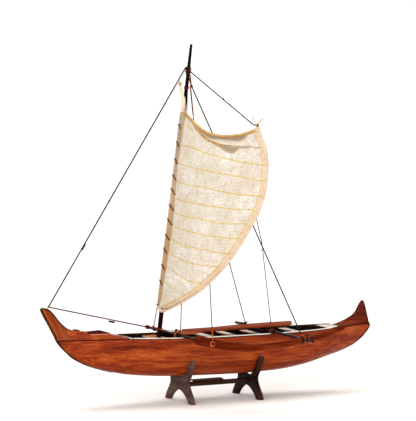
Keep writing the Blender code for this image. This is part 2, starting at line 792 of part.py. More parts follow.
def make_ama():
    xs = spaced(AMA_SECTIONS[0][0], AMA_SECTIONS[-1][0], AMA_STATIONS, crowd=0.6)
    ama = finish_mesh("ama", bridge_rings([ama_ring(x) for x in xs]), "dark_wood")
    for name, x, _, _, z in IAKOS:
        cut(ama, beam_cutter(name + "_hole_cutter", x, z))
    return ama


def make_ama_band(name, beam, width, thickness):
    """Lashing wound round the float, open where the crossbeam passes through."""
    _, x, _, _, z = beam
    offsets = (-width / 2, width / 2)
    outer = [ama_ring(x + dx, GAP + thickness) for dx in offsets]
    inner = [ama_ring(x + dx, GAP) for dx in reversed(offsets)]
    band = finish_mesh(name, bridge_rings(outer + inner, closed_path=True), "red_cord")
    cut(band, beam_cutter(name + "_beam_cutter", x, z))
    return band


def beam_ring(name, beam, y, thickness, length, material="red_cord"):
    _, x, _, _, z = beam
    inner = IAKO_RADIUS + GAP
    return ring_around(name, (x, y, z), (0, 1, 0), inner, inner + thickness, length, material)


# Deck gear

BOARD_BOTTOM = IAKOS[0][4] + IAKO_RADIUS + GAP
BOARD_TOP = BOARD_BOTTOM + BOARD_THICK


def make_cleat():
    """Thumb cleat: a low foot with two horns, turned from one bent rod."""
    base = BOARD_TOP + GAP
    points = [(CLEAT_X - 0.0062, CLEAT_Y, base + 0.0032), (CLEAT_X - 0.0032, CLEAT_Y, base + 0.0017),
              (CLEAT_X, CLEAT_Y, base + 0.0015), (CLEAT_X + 0.0032, CLEAT_Y, base + 0.0017),
              (CLEAT_X + 0.0062, CLEAT_Y, base + 0.0030)]
    return rod("cleat", points, 0.0015, "mast_wood", [0.7, 0.95, 1.0, 0.95, 0.6])


def make_bow_eye():
    """Wire eye standing on the prow's back edge."""
    rings = []
    for i in range(20):
        angle = 2 * math.pi * i / 20
        ring = []
        for j in range(8):
            tube = 2 * math.pi * j / 8
            radius = EYE_RADIUS + EYE_WIRE * math.cos(tube)
            ring.append((BOW_EYE.x + radius * math.cos(angle), EYE_WIRE * math.sin(tube),
                         BOW_EYE.z + radius * math.sin(angle)))
        rings.append(ring)
    return finish_mesh("bow_eye", bridge_rings(rings, closed_path=True), "brass_wire")


# Stand

def frame_outline(x, hollow):
    """Outline (y, z) of a stand frame whose cradle fits the hull at x, clear of the keel by a hollow."""
    top_y, top_z = FRAME_OUTER[-1]
    sheer_limit = top_z
    keel = hull_at(x)[2]
    cradle = []
    for i in range(13):
        share = i / 12
        z = sheer_limit - (sheer_limit - keel) * share ** 0.7
        y = hull_half_width_at(x, z)
        cradle.append((y, z))
    half = list(FRAME_OUTER)
    for i, (y, z) in enumerate(cradle):
        if i == 0:
            continue
        below = CRADLE_CLEARANCE + 0.0006 + hollow * max(0.0, 1 - (y / HOLLOW_HALF_WIDTH) ** 2)
        half.append((y + CRADLE_CLEARANCE * 0.7 if y > 0.001 else 0.0, z - below))
    far = half
    near = [(-y, z) for y, z in reversed(half) if y > 0]
    arch_far = [(y, z) for y, z in FRAME_ARCH if y > 0]
    arch = [(-y, z) for y, z in reversed(arch_far)] + [FRAME_ARCH[0]] + arch_far
    return far + near + arch


def make_frame(name, x, thickness, hollow):
    outline = frame_outline(x, hollow)
    rings = [[(x + dx, y, z) for y, z in outline] for dx in (-thickness / 2, thickness / 2)]
    return finish_mesh(name, bridge_rings(rings), "stand_wood", smooth_angle=35.0)


def box(name, low, high, material):
    rings = [[(x, low[1], low[2]), (x, high[1], low[2]), (x, high[1], high[2]), (x, low[1], high[2])]
             for x in (low[0], high[0])]
    return finish_mesh(name, bridge_rings(rings), material)


def make_stringer():
    fore, aft = FRAMES
    start = fore[1] + fore[2] / 2 + GAP
    end = aft[1] - aft[2] / 2 - GAP
    return rod("stand_stringer", [(start, 0.0, STRINGER_Z), (end, 0.0, STRINGER_Z)], STRINGER_RADIUS, "stand_wood")


def make_plaque():
    width, height = PLAQUE_SIZE
    base = STRINGER_Z + STRINGER_RADIUS + GAP
    return box("stand_plaque", (PLAQUE_X[0], -width / 2, base), (PLAQUE_X[1], width / 2, base + height), "stand_wood")


def beside_mast(z, turn, surface, knot_room=THREAD_RADIUS * KNOT_FACTOR):
    """End of a thread beside the mast; turn is in degrees from straight aft towards the far side."""
    reach = surface + knot_room + GAP
    angle = math.radians(turn)
    return mast_point(z) + Vector((math.cos(angle), math.sin(angle), 0.0)) * reach


def make_lashings():
    front, rear = IAKOS
    mast_ring("masthead_lashing", MASTHEAD_Z, LASHING_THICK, 0.0130, "red_cord")
    mast_ring("mast_collar", COLLAR_Z, 0.0010, 0.0042, "red_cord")
    mast_ring("mast_lashing", PARTNER_RING_Z, LASHING_THICK, 0.0036, "red_cord")
    beam_ring("iako_end_lashing", front, IAKO_END_Y, LASHING_THICK, 0.0050)
    beam_ring("iako_far_lashing", front, IAKO_FAR_Y, LASHING_THICK, 0.0060)
    beam_ring("gunwale_lashing_front", front, GUNWALE_FRONT_Y, 0.0026, 0.0060)
    beam_ring("gunwale_lashing_rear", rear, GUNWALE_REAR_Y, 0.0022, 0.0070)
    under_board = BOARD_BOTTOM - GAP - (rear[4] + IAKO_RADIUS + GAP)
    beam_ring("board_lashing_rear", rear, BOARD_LASHING_Y, under_board, 0.0080)
    beam_ring("ama_lashing_front", front, front[3] + 0.0030, AMA_END_LASHING, 0.0028)
    make_ama_band("ama_lashing_rear", rear, 0.0120, LASHING_THICK)


def beam_seat(beam, y, thickness, towards):
    """End of a thread on a crossbeam or its lashing, on the side facing a point."""
    _, x, _, _, z = beam
    reach = IAKO_RADIUS + (GAP + thickness if thickness else 0.0) + SEAT
    across = Vector((towards.x - x, 0.0, towards.z - z)).normalized()
    return Vector((x, y, z)) + across * reach


def boom_seat(z, towards):
    """End of a thread on the boom at a height, on the side facing a point."""
    middle = sail_plane_point(boom_outboard(z), z)
    along = (sail_plane_point(boom_outboard(z + 0.001), z + 0.001) - middle).normalized()
    way = towards - middle
    across = (way - along * way.dot(along)).normalized()
    return middle + across * (BOOM_RADIUS + THREAD_RADIUS * KNOT_FACTOR + GAP)


def make_rigging():
    """Stays, sheets and lashings. All are drawn taut."""
    front, rear = IAKOS
    head_surface = mast_radius(MASTHEAD_Z) + GAP + LASHING_THICK + 0.0003
    stay_room = STAY_RADIUS * 1.2
    forestay_top = beside_mast(MASTHEAD_Z + 0.0045, 180.0, head_surface, stay_room)
    forestay_way = (forestay_top - BOW_EYE).normalized()
    thread("forestay", forestay_top, BOW_EYE + forestay_way * EYE_REACH, radius=STAY_RADIUS)

    iako_end = beam_seat(front, IAKO_END_Y, LASHING_THICK, BOW_EYE)
    bow_line_way = (iako_end - BOW_EYE + Vector((0.0, 0.0, BOW_LINE_LIFT))).normalized()
    thread("bow_line", BOW_EYE + bow_line_way * EYE_REACH, iako_end, radius=STAY_RADIUS)

    boom_tip = sail_plane_point(BOOM_COURSE[-1][0], BOOM_COURSE[-1][1])
    lift_top = beside_mast(MASTHEAD_Z - 0.0012, -80.0, head_surface, knot_room=0.0)
    lift_way = (LIFT_BEND - boom_tip).normalized()
    thread("topping_lift", lift_top, boom_tip + lift_way * 0.0008, via=(LIFT_BEND,))

    knot = Vector(SHROUD_KNOT)
    head_z = MASTHEAD_Z - 0.0130
    thread("shroud_head", beside_mast(head_z, -80.0, mast_radius(head_z)), knot)
    rear_foot = beam_seat(rear, BACKSTAY_FOOT_Y, 0.0, knot)
    front_foot = beam_seat(front, front[3] + 0.0030, AMA_END_LASHING, SHROUD_NEAR_BEND)
    thread("backstay", knot + Vector((0.0014, 0.0, -0.0013)), rear_foot)
    thread("shroud_near", knot + Vector((-0.0014, 0.0, -0.0013)), front_foot, via=(SHROUD_NEAR_BEND,))

    collar_under = COLLAR_Z - 0.0055
    shroud_top = beside_mast(collar_under, -90.0, mast_radius(collar_under) + 0.0003)
    thread("shroud_gunwale", shroud_top, Vector((*SHROUD_GUNWALE_FOOT, BOARD_TOP + SEAT)))

    crossing = knot.lerp(rear_foot, BACKSTAY_CROSSING) + Vector((0.00145, 0.0, 0.0008))
    board_fixing = Vector((*SHEET_UPPER_FOOT, BOARD_TOP + SEAT))
    thread("sheet_upper", boom_seat(SHEET_UPPER_Z, crossing), board_fixing, via=(crossing,))

    cleat_top = Vector((CLEAT_X + 0.0016, CLEAT_Y, BOARD_TOP + GAP + 0.0030 + SEAT))
    thread("sheet_lower", boom_seat(SHEET_LOWER_Z, cleat_top), cleat_top)

    tack = yard_point(YARD_FOOT_Z + 0.0015) + Vector((0.0, YARD_RADIUS + THREAD_RADIUS * KNOT_FACTOR + GAP, 0.0))
    thread("tack_line", tack, beam_seat(front, IAKO_FAR_Y, LASHING_THICK, tack))
    make_toggle("forestay_toggle", forestay_top, BOW_EYE, 0.748, 0.0120, 0.0014, (0, -1, 0))
    make_toggle("bow_line_toggle", BOW_EYE, iako_end, 0.652, 0.0135, 0.0015, (0, 0, -1))


def make_toggle(name, start, end, share, length, radius, aside):
    """Small wooden toggle lying beside a stay at a share of its length."""
    start, end = Vector(start), Vector(end)
    along = (end - start).normalized()
    across = Vector(aside) - along * along.dot(Vector(aside))
    middle = start.lerp(end, share) + across.normalized() * (radius + STAY_RADIUS + GAP)
    return rod(name, [middle - along * length / 2, middle + along * length / 2], radius, "mast_wood", resolution=2)


def build():
    make_hull()
    make_rail("rail_near", -1)
    make_rail("rail_far", 1)
    make_bow_cover()
    make_stern_cover()
    for name, x, length in THWARTS:
        make_thwart(name, x, length)
    make_mast_thwart()
    make_stern_deck()
    make_mast()
    make_yard()
    make_boom()
    make_sail()
    for beam in IAKOS:
        make_iako(*beam)
    make_ama()
    plate("deck_board", BOARD_OUTLINE, lambda x: BOARD_BOTTOM, BOARD_THICK, "board_wood")
    make_cleat()
    make_bow_eye()
    make_lashings()
    make_rigging()
    for frame in FRAMES:
        make_frame(*frame)
    make_stringer()
    make_plaque()


build()
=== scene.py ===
"""Looks of the outrigger sailing canoe model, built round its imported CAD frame.

Metres, +Z up. Shapes are given as in the model itself: X from the front crossbeam, Y from the
hull's middle plane, Z from the table. SHIFT takes them to the middle of the whole model.
"""
import bmesh
import bpy
import functools
import math
import numpy as np
from mathutils.bvhtree import BVHTree
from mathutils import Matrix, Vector, noise


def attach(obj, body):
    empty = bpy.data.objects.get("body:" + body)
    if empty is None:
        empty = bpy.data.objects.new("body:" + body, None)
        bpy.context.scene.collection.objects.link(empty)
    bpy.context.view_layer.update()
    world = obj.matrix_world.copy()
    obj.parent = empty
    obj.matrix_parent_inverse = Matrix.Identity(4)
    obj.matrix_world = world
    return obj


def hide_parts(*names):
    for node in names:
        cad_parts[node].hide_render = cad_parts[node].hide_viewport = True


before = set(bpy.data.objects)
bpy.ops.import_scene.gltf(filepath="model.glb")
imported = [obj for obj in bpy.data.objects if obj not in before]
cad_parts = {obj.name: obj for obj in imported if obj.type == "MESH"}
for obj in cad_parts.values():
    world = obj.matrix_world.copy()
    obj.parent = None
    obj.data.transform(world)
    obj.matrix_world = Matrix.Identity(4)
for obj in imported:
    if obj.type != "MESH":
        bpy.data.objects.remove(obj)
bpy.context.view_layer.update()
SHIFT = np.array((-0.0699, 0.0786, 0.0))

# Sizes and routes shared with the CAD model
MAST_DECK = (-0.0207, 0.1110)  # x, z where the mast passes its thwart
MAST_LEAN = 0.1253  # aft travel over height
# columns: z, radius
MAST_TAPER = ((0.050, 0.0039), (0.200, 0.0037), (0.400, 0.0034), (0.540, 0.0029), (0.5925, 0.0021))
# columns: z, distance ahead of the mast axis, distance outboard of it
YARD_BEND = (
    (0.157, 0.0083, 0.0012), (0.250, 0.0077, 0.0012), (0.300, 0.0066, 0.0012), (0.350, 0.0061, 0.0012),
    (0.450, 0.0058, 0.0014), (0.485, 0.0062, 0.0036), (0.500, 0.0070, 0.0060), (0.518, 0.0142, 0.0070),
    (0.533, 0.0182, 0.0070),
)
# columns: outboard of the mast, z
BOOM_COURSE = (
    (0.0060, 0.1530), (0.0180, 0.1566), (0.0410, 0.1652), (0.0750, 0.1799), (0.1084, 0.1966),
    (0.1332, 0.2131), (0.1570, 0.2315), (0.1845, 0.2582), (0.2030, 0.2805), (0.2180, 0.3040),
    (0.2305, 0.3247), (0.2380, 0.3405), (0.2422, 0.3572), (0.2435, 0.3740), (0.2411, 0.3967),
    (0.2366, 0.4161), (0.2297, 0.4313), (0.2219, 0.4424), (0.2105, 0.4554), (0.1965, 0.4720),
)
# columns: z, direction in which the cloth leaves the mast, in degrees
SAIL_HEADING = ((0.150, 84.5), (0.470, 79.0))
SAIL_BACKSET = 0.0030
SAIL_BELLY = 0.0210
SAIL_FOOT_Z = 0.1610
SAIL_HEAD_Z = 0.4845
# columns: across, drop
SAIL_HEAD_DROP = (
    (0.00, 0.0000), (0.05, 0.0036), (0.10, 0.0083), (0.20, 0.0168), (0.30, 0.0234), (0.40, 0.0262),
    (0.50, 0.0259), (0.60, 0.0240), (0.70, 0.0201), (0.80, 0.0153), (0.90, 0.0084), (1.00, 0.0000),
)
SAIL_LUFF_OUT = 0.0024
SAIL_LEECH_IN = 0.0028
IAKO_RADIUS = 0.0024
# x and z of the crossbeams' axes
FRONT_BEAM = (0.0010, 0.1151)
REAR_BEAM = (0.1670, 0.1134)

TABLE_STEPS = 2000


def clamp(value, low=0.0, high=1.0):
    return min(max(value, low), high)


def place(points):
    """Model coordinates to the shared frame."""
    return np.asarray(points, float) + SHIFT


@functools.lru_cache(maxsize=None)
def dense_column(table, column, key):
    """A column as many even steps, on a curve through the rows that never overshoots."""
    xs = np.array([row[key] for row in table])
    ys = np.array([row[column] for row in table])
    widths = np.diff(xs)
    slopes = np.diff(ys) / widths
    tangents = np.zeros(len(xs))
    tangents[0] = slopes[0]
    tangents[-1] = slopes[-1]
    for i in range(1, len(xs) - 1):
        if slopes[i - 1] * slopes[i] > 0:
            w1 = 2 * widths[i] + widths[i - 1]
            w2 = widths[i] + 2 * widths[i - 1]
            tangents[i] = (w1 + w2) / (w1 / slopes[i - 1] + w2 / slopes[i])
    at = np.linspace(xs[0], xs[-1], TABLE_STEPS + 1)
    i = np.clip(np.searchsorted(xs, at) - 1, 0, len(xs) - 2)
    t = (at - xs[i]) / widths[i]
    start = (1 + 2 * t) * (1 - t) ** 2 * ys[i] + t * (1 - t) ** 2 * widths[i] * tangents[i]
    end = t * t * (3 - 2 * t) * ys[i + 1] + t * t * (t - 1) * widths[i] * tangents[i + 1]
    return float(xs[0]), float(at[1] - at[0]), (start + end).tolist()


def read_table(table, column, x, key=0):
    """One column of a table at x, clamped to its ends."""
    first, step, values = dense_column(table, column, key)
    place_in = clamp((x - first) / step, 0.0, TABLE_STEPS - 0.001)
    i = int(place_in)
    return values[i] + (values[i + 1] - values[i]) * (place_in - i)


def unit(vector):
    vector = np.asarray(vector, float)
    return vector / max(np.linalg.norm(vector), 1e-12)


# Materials

# Light on a face, by which its seen colour is divided
LIGHT_LEVEL = 1.22  # faces turned to the camera
SAIL_LEVEL = 1.30  # the sail
SPAR_LEVEL = 1.50  # the cloth round its spars
PAINT_MAX = 0.95
WEAVE = 2200  # threads of the cloth in a metre
WEAVE_WOBBLE = 1.5
# Places of a colour mix's sockets
MIX_FACTOR, MIX_FIRST, MIX_SECOND, MIX_COLOUR = 0, 6, 7, 2
LOOKS = {}  # every finish by its name


def paint(colour, level):
    """Seen colour (0 to 255) to the surface's own linear colour."""
    values = []
    for value in colour:
        value /= 255
        linear = value / 12.92 if value <= 0.04045 else ((value + 0.055) / 1.055) ** 2.4
        values.append(min(linear / level, PAINT_MAX))
    return (*values, 1.0)


class Finish:
    """A material put together from nodes."""

    def __init__(self, name, roughness, level=LIGHT_LEVEL, slant=0.0, coat=0.0, coat_roughness=0.1, sheen=0.0,
                 metallic=0.0, specular=0.06):
        self.material = bpy.data.materials.new(name)
        self.material.use_nodes = True
        self.tree = self.material.node_tree
        self.shader = self.tree.nodes["Principled BSDF"]
        self.feed(self.shader, {"Roughness": roughness, "Coat Weight": coat, "Coat Roughness": coat_roughness,
                                "Sheen Weight": sheen, "Metallic": metallic, "Specular IOR Level": specular})
        self.coordinates = self.node("TexCoord").outputs["Object"]
        if slant:
            turn = {"Vector": self.coordinates, "Rotation": (0.0, slant, 0.0)}
            self.coordinates = self.node("Mapping", turn).outputs["Vector"]
        self.level = level
        self.normal = None
        LOOKS[name] = self.material

    def feed(self, node, inputs):
        """Set a node's inputs to plain values, or link them to other nodes' outputs."""
        for socket, value in inputs.items():
            if isinstance(value, bpy.types.NodeSocket):
                self.tree.links.new(value, node.inputs[socket])
            else:
                node.inputs[socket].default_value = value
        return node

    def node(self, kind, inputs=None):
        return self.feed(self.tree.nodes.new("ShaderNode" + kind), inputs or {})

    def own(self, value):
        """A seen colour as the surface's own; a linear colour with its alpha, or a source, stays."""
        return paint(value, self.level) if isinstance(value, tuple) and len(value) == 3 else value

    def stretched(self, scale):
        """Object coordinates scaled by a different amount along each axis, in cycles a metre."""
        return self.node("Mapping", {"Vector": self.coordinates, "Scale": scale}).outputs["Vector"]

    def noise(self, scale, detail=4.0, roughness=0.55, distortion=0.0):
        inputs = {"Vector": self.stretched(scale), "Scale": 1.0, "Detail": detail, "Roughness": roughness,
                  "Distortion": distortion}
        return self.node("TexNoise", inputs).outputs["Fac"]

    def bands(self, scale, axis="DIAGONAL"):
        inputs = {"Vector": self.stretched(scale), "Scale": 1.0, "Distortion": WEAVE_WOBBLE}
        node = self.node("TexWave", inputs)
        node.bands_direction = axis
        return node.outputs["Fac"]

    def ramp(self, factor, *stops):
        """Stops are (position, colour) or (position, grey value)."""
        node = self.node("ValToRGB", {"Fac": factor})
        elements = node.color_ramp.elements
        while len(elements) < len(stops):
            elements.new(0.5)
        for element, (position, value) in zip(elements, stops):
            element.position = position
            element.color = self.own(value) if isinstance(value, tuple) else (value, value, value, 1.0)
        return node.outputs["Color"]

    def by_height(self, low, high, stops):
        """Colour by height above the table."""
        height = self.node("SeparateXYZ", {"Vector": self.coordinates}).outputs["Z"]
        share = self.node("MapRange", {"Value": height, "From Min": low, "From Max": high})
        return self.ramp(share.outputs["Result"], *stops)

    def mix(self, factor, first, second):
        node = self.tree.nodes.new("ShaderNodeMix")
        node.data_type = "RGBA"
        self.feed(node, {MIX_FACTOR: factor, MIX_FIRST: self.own(first), MIX_SECOND: self.own(second)})
        return node.outputs[MIX_COLOUR]

    def edge_wear_and_highlight(self, low=0.52, high=0.60):
        """1 on the outer edges of a piece, 0 on its flat faces: painted highlight on wood, rubbed paint on
        painted parts.
        """
        return self.ramp(self.node("NewGeometry").outputs["Pointiness"], (low, 0.0), (high, 1.0))

    def attribute(self, name):
        node = self.node("Attribute")
        node.attribute_name = name
        return node.outputs["Fac"]

    def colour(self, source):
        self.feed(self.shader, {"Base Color": source})

    def gloss(self, source):
        self.feed(self.shader, {"Roughness": source})

    def bump(self, source, distance, strength):
        inputs = {"Distance": distance, "Strength": strength, "Height": source}
        if self.normal:
            inputs["Normal"] = self.normal
        self.normal = self.node("Bump", inputs).outputs["Normal"]
        self.feed(self.shader, {"Normal": self.normal})


def along(direction, stretch, first, second):
    """Noise scale with its long direction on one axis."""
    scale = [first, second]
    scale.insert("XYZ".index(direction), stretch)
    return scale


def wood(name, dark, middle, light, roughness, direction="X", edge_wear_and_highlight=None, **finish):
    """Varnished wood: broad figure, fine streaks and pores along one direction, and where an edge colour is
    given, a painted highlight on the outer edges.
    """
    f = Finish(name, roughness, **finish)
    streaks = f.noise(along(direction, 14, 160, 230), 5.0, 0.62, 0.4)
    figure = f.noise(along(direction, 5, 32, 60), 3.0, 0.5, 0.6)
    pores = f.noise(along(direction, 60, 900, 900), 2.0, 0.5)
    colour = f.ramp(f.mix(0.45, streaks, figure), (0.34, dark), (0.49, middle), (0.64, light))
    colour = f.mix(f.ramp(pores, (0.35, 0.5), (0.47, 0.0)), colour, dark)
    # lighter outer edges: painted highlight
    if edge_wear_and_highlight:
        colour = f.mix(f.edge_wear_and_highlight(), colour, edge_wear_and_highlight)
    f.colour(colour)
    f.gloss(f.ramp(streaks, (0.3, roughness * 1.25), (0.7, roughness * 0.8)))
    f.bump(streaks, 0.00025, 0.5)
    f.bump(pores, 0.00006, 0.6)


def cord(name, dark, middle, light):
    """Twisted fibres with lighter and darker patches."""
    f = Finish(name, 0.85, sheen=0.05)
    fibres = f.noise((900, 900, 900), 3.0, 0.6)
    patches = f.noise((120, 120, 120), 2.0, 0.5)
    f.colour(f.ramp(f.mix(0.5, fibres, patches), (0.36, dark), (0.5, middle), (0.64, light)))
    f.bump(fibres, 0.00015, 0.8)


def brushed_paint(name, clean, grubby, edge):
    """Hand-brushed paint with faint strokes, dirt in patches and rubbed edges."""
    f = Finish(name, 0.42, coat=0.1)
    strokes = f.noise((25, 300, 300), 4.0, 0.6)
    dirt = f.noise((45, 90, 90), 3.0, 0.5)
    colour = f.mix(f.ramp(dirt, (0.48, 0.0), (0.66, 0.8)), clean, grubby)
    f.colour(f.mix(f.edge_wear_and_highlight(0.54, 0.64), colour, edge))
    f.gloss(f.ramp(strokes, (0.3, 0.5), (0.7, 0.34)))
    f.bump(strokes, 0.00012, 0.5)


def linen(name, pale, warm, shade, slub_and_luff_shade):
    """Woven cloth: crossed threads, slubs, soft patches, and the mesh's attributes of painted shade in the
    head's folds and beside the yard.
    """
    f = Finish(name, 0.95, SAIL_LEVEL, sheen=0.05, specular=0.05)
    weave = f.mix(0.5, f.bands((0, 0, WEAVE), "Z"), f.bands((0, WEAVE, 0), "Y"))
    weft_slubs = f.noise((40, 90, 1100), 3.0, 0.65)
    warp_slubs = f.noise((40, 700, 60), 3.0, 0.65)
    patches = f.noise((30, 22, 30), 3.0, 0.5)
    clouds = f.noise((90, 70, 90), 3.0, 0.6)
    colour = f.ramp(patches, (0.36, pale), (0.60, warm))
    colour = f.mix(f.ramp(clouds, (0.44, 0.0), (0.66, 0.8)), colour, warm)
    colour = f.mix(f.ramp(weft_slubs, (0.46, 0.0), (0.66, 0.75)), colour, slub_and_luff_shade)
    colour = f.mix(f.ramp(warp_slubs, (0.48, 0.0), (0.68, 0.65)), colour, slub_and_luff_shade)
    # painted shade in the head's folds, from the mesh's shade attribute
    colour = f.mix(f.attribute("shade"), colour, shade)
    # painted shade beside the yard, from the mesh's attribute
    f.colour(f.mix(f.attribute("slub_and_luff_shade"), colour, slub_and_luff_shade))
    f.bump(weave, 0.00008, 0.5)
    f.bump(weft_slubs, 0.00012, 0.5)


def sleeve_cloth(name, level, pale, warm, dark, tint=()):
    """Doubled cloth pulled round a spar, gathered in small tucks with painted shade in their hollows, and
    soiled where it is handled.
    """
    f = Finish(name, 0.95, level, sheen=0.05, specular=0.05)
    tucks = f.noise((60, 120, 330), 3.0, 0.6)
    soil = f.noise((30, 30, 42), 3.0, 0.6)
    colour = f.ramp(soil, (0.40, pale), (0.62, warm))
    if tint:
        # painted shade by height, for the luff's cloth
        colour = f.mix(0.75, colour, f.by_height(*TINT_HEIGHTS, tint))
    # darker in the tucks' hollows: painted shade
    f.colour(f.mix(f.ramp(tucks, (0.30, 0.6), (0.44, 0.0)), colour, dark))
    f.bump(tucks, 0.0005, 0.7)
    f.bump(f.bands((0, WEAVE, WEAVE)), 0.00006, 0.4)


def plain_metal(name, dull, bright):
    f = Finish(name, 0.35, metallic=1.0)
    wear = f.noise((400, 400, 400), 4.0, 0.6)
    f.colour(f.ramp(wear, (0.4, dull), (0.6, bright)))
    f.gloss(f.ramp(wear, (0.3, 0.5), (0.7, 0.28)))
    f.bump(wear, 0.00005, 0.4)


VARNISH = {"coat": 0.05, "coat_roughness": 0.12}
MATT = {"specular": 0.02}
PROW_GRAIN = {"direction": "Z", "slant": math.radians(28)}
ACROSS, UPRIGHT = {"direction": "Y"}, {"direction": "Z"}
# columns: name, dark, middle, light, roughness, other settings; an edge colour among them is a painted
# highlight
WOODS = (
    ("hull wood", (84, 22, 5), (144, 50, 12), (186, 86, 32), 0.34, VARNISH),
    ("hull inside", (8, 5, 4), (16, 9, 7), (34, 18, 13), 0.60, {}),
    ("prow wood", (62, 16, 5), (136, 52, 16), (190, 96, 42), 0.34, {**PROW_GRAIN, **VARNISH}),
    ("dark wood", (60, 14, 3), (98, 28, 5), (140, 54, 18), 0.45,
     {**MATT, "coat": 0.01, "coat_roughness": 0.2}),
    ("fin wood", (62, 15, 4), (96, 29, 9), (138, 54, 22), 0.36, VARNISH),
    # very dark: painted dark reflection on the bands' tops, also used for the painted shadow strips under the
    # rails
    ("band wood", (30, 3, 2), (52, 6, 4), (86, 16, 10), 0.60, {**ACROSS, "specular": 0.01}),
    ("board wood", (70, 18, 9), (118, 38, 18), (170, 76, 36), 0.50, {**MATT, "edge_wear_and_highlight": (190, 96, 50)}),
    ("thwart edge wood", (130, 62, 30), (176, 92, 48), (214, 136, 84), 0.40, {}),
    # pale strips that paint the highlight on the bands' edges
    ("band edge wood", (150, 74, 50), (196, 116, 90), (224, 156, 130), 0.40, {}),
    ("edge wood", (20, 2, 1), (36, 5, 3), (66, 14, 8), 0.50, MATT),
    ("dark strip wood", (26, 8, 5), (46, 16, 9), (74, 28, 16), 0.50, MATT),
    ("stand wood", (12, 5, 4), (26, 13, 11), (58, 32, 27), 0.50,
     {**ACROSS, "edge_wear_and_highlight": (84, 48, 38), "specular": 0.03}),
    # lighter copy of the stand wood for the front frame: painted light on its face towards the lamps
    ("fore frame wood", (46, 31, 27), (80, 59, 53), (116, 92, 84), 0.50,
     {**ACROSS, "edge_wear_and_highlight": (104, 70, 58), "specular": 0.04}),
    ("stringer wood", (24, 11, 9), (44, 22, 17), (84, 44, 34), 0.30, {"coat": 0.12}),
    ("mast wood", (8, 1, 1), (16, 3, 3), (50, 8, 6), 0.45, {**UPRIGHT, **MATT}),
    ("beam wood", (10, 5, 5), (20, 10, 9), (42, 20, 16), 0.20,
     {**ACROSS, "coat": 0.15, "coat_roughness": 0.06}),
    ("cane", (150, 106, 62), (186, 144, 94), (214, 178, 130), 0.50, UPRIGHT),
)
# columns: name, dark, middle, light
CORDS = (
    ("seam thread", (190, 152, 40), (214, 180, 62), (230, 200, 90)),
    ("hem thread", (140, 96, 42), (176, 130, 66), (206, 166, 100)),
    ("red cord", (60, 12, 7), (100, 26, 12), (140, 46, 22)),
    ("deep red cord", (18, 4, 4), (40, 9, 8), (84, 22, 16)),
    ("orange cord", (150, 52, 16), (200, 84, 32), (228, 120, 56)),
    ("black cord", (6, 4, 4), (13, 9, 9), (34, 22, 20)),
    ("tan cord", (150, 118, 76), (196, 162, 112), (220, 192, 146)),
    ("thread", (12, 9, 8), (24, 20, 18), (50, 43, 40)),
    ("stay thread", (12, 8, 7), (22, 16, 14), (48, 38, 33)),
    ("bow line thread", (52, 22, 18), (88, 46, 38), (124, 78, 66)),
)
# Painted shade of the mast seen through the luff's cloth, greyer near the head, columns: share of the luff's
# height, colour
LUFF_SHADE_TINT = ((0.0, (200, 164, 122)), (0.35, (206, 160, 108)), (0.60, (212, 182, 144)),
             (0.85, (168, 150, 128)), (1.0, (196, 182, 158)))
TINT_HEIGHTS = (0.160, 0.485)
# columns: name, light level, pale, warm, dark, tint by height; dark is painted shade in the tucks, the tint
# is painted shade by height
SLEEVE_CLOTHS = (
    ("hem cloth", LIGHT_LEVEL, (214, 176, 118), (190, 148, 88), (140, 98, 50), ()),
    # the luff cloth's colours paint the shade of the mast seen through the cloth
    ("luff cloth", SPAR_LEVEL, (214, 192, 158), (196, 168, 128), (150, 108, 66), LUFF_SHADE_TINT),
    ("sleeve cloth", SPAR_LEVEL, (247, 222, 196), (240, 208, 176), (206, 156, 110), ()),
    ("tip cloth", SAIL_LEVEL, (244, 232, 208), (232, 210, 174), (196, 156, 108), ()),
)


def make_finishes():
    for *row, settings in WOODS:
        wood(*row, **settings)
    for row in CORDS:
        cord(*row)
    for row in SLEEVE_CLOTHS:
        sleeve_cloth(*row)
    brushed_paint("rail paint", (244, 238, 228), (222, 208, 190), (184, 146, 112))
    # the third colour paints the shade in the head's folds; the fourth gives the slubs and the painted shade
    # beside the yard
    linen("sail linen", (246, 243, 238), (231, 221, 204), (164, 140, 112), (196, 172, 138))
    plain_metal("brass wire", (140, 128, 104), (196, 186, 160))


# Meshes

STRANDS = 3  # of laid cord
STRAND_DEPTH = 0.14  # depth of the grooves between them over the cord's radius
ROUTE_STEP = 0.0007  # along laid cord
TURN_PITCH = 2.02  # spacing of a winding's turns over the cord's radius
TURN_STEPS = 20
KNOT_STEPS = 42
KNOT_FLAT, KNOT_DEPTH = 0.8, 1.4
KNOT_REACH, KNOT_CORD = 0.24, 0.30  # size of a knot's loops and radius of its cord over its whole size
ANY_WAY = (0.31, 0.27, 0.91)  # direction in which no rod runs


def round_angles(count):
    return 2 * math.pi * np.arange(count) / count


def oval(centre, side, up, wide, high, count=8):
    """Closed ring round a centre; wide and high are half its sizes."""
    angles = round_angles(count)
    return centre + np.outer(np.cos(angles) * wide, side) + np.outer(np.sin(angles) * high, up)


def add_object(name, data):
    obj = bpy.data.objects.new(name, data)
    bpy.context.scene.collection.objects.link(obj)
    return obj


def dress_mesh(mesh, looks, indices, smooth):
    """Finishes, the number of each face's finish, and smooth shading up to an angle in degrees."""
    mesh.materials.clear()
    for look in [looks] if isinstance(looks, str) else looks:
        mesh.materials.append(LOOKS[look])
    mesh.polygons.foreach_set("material_index", indices)
    mesh.shade_smooth()
    mesh.set_sharp_from_angle(angle=math.radians(smooth))


def fitted(obj, nodes):
    """Fix a piece to the model in place of CAD nodes."""
    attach(obj, "root")
    for node in nodes:
        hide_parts(node)
    return obj


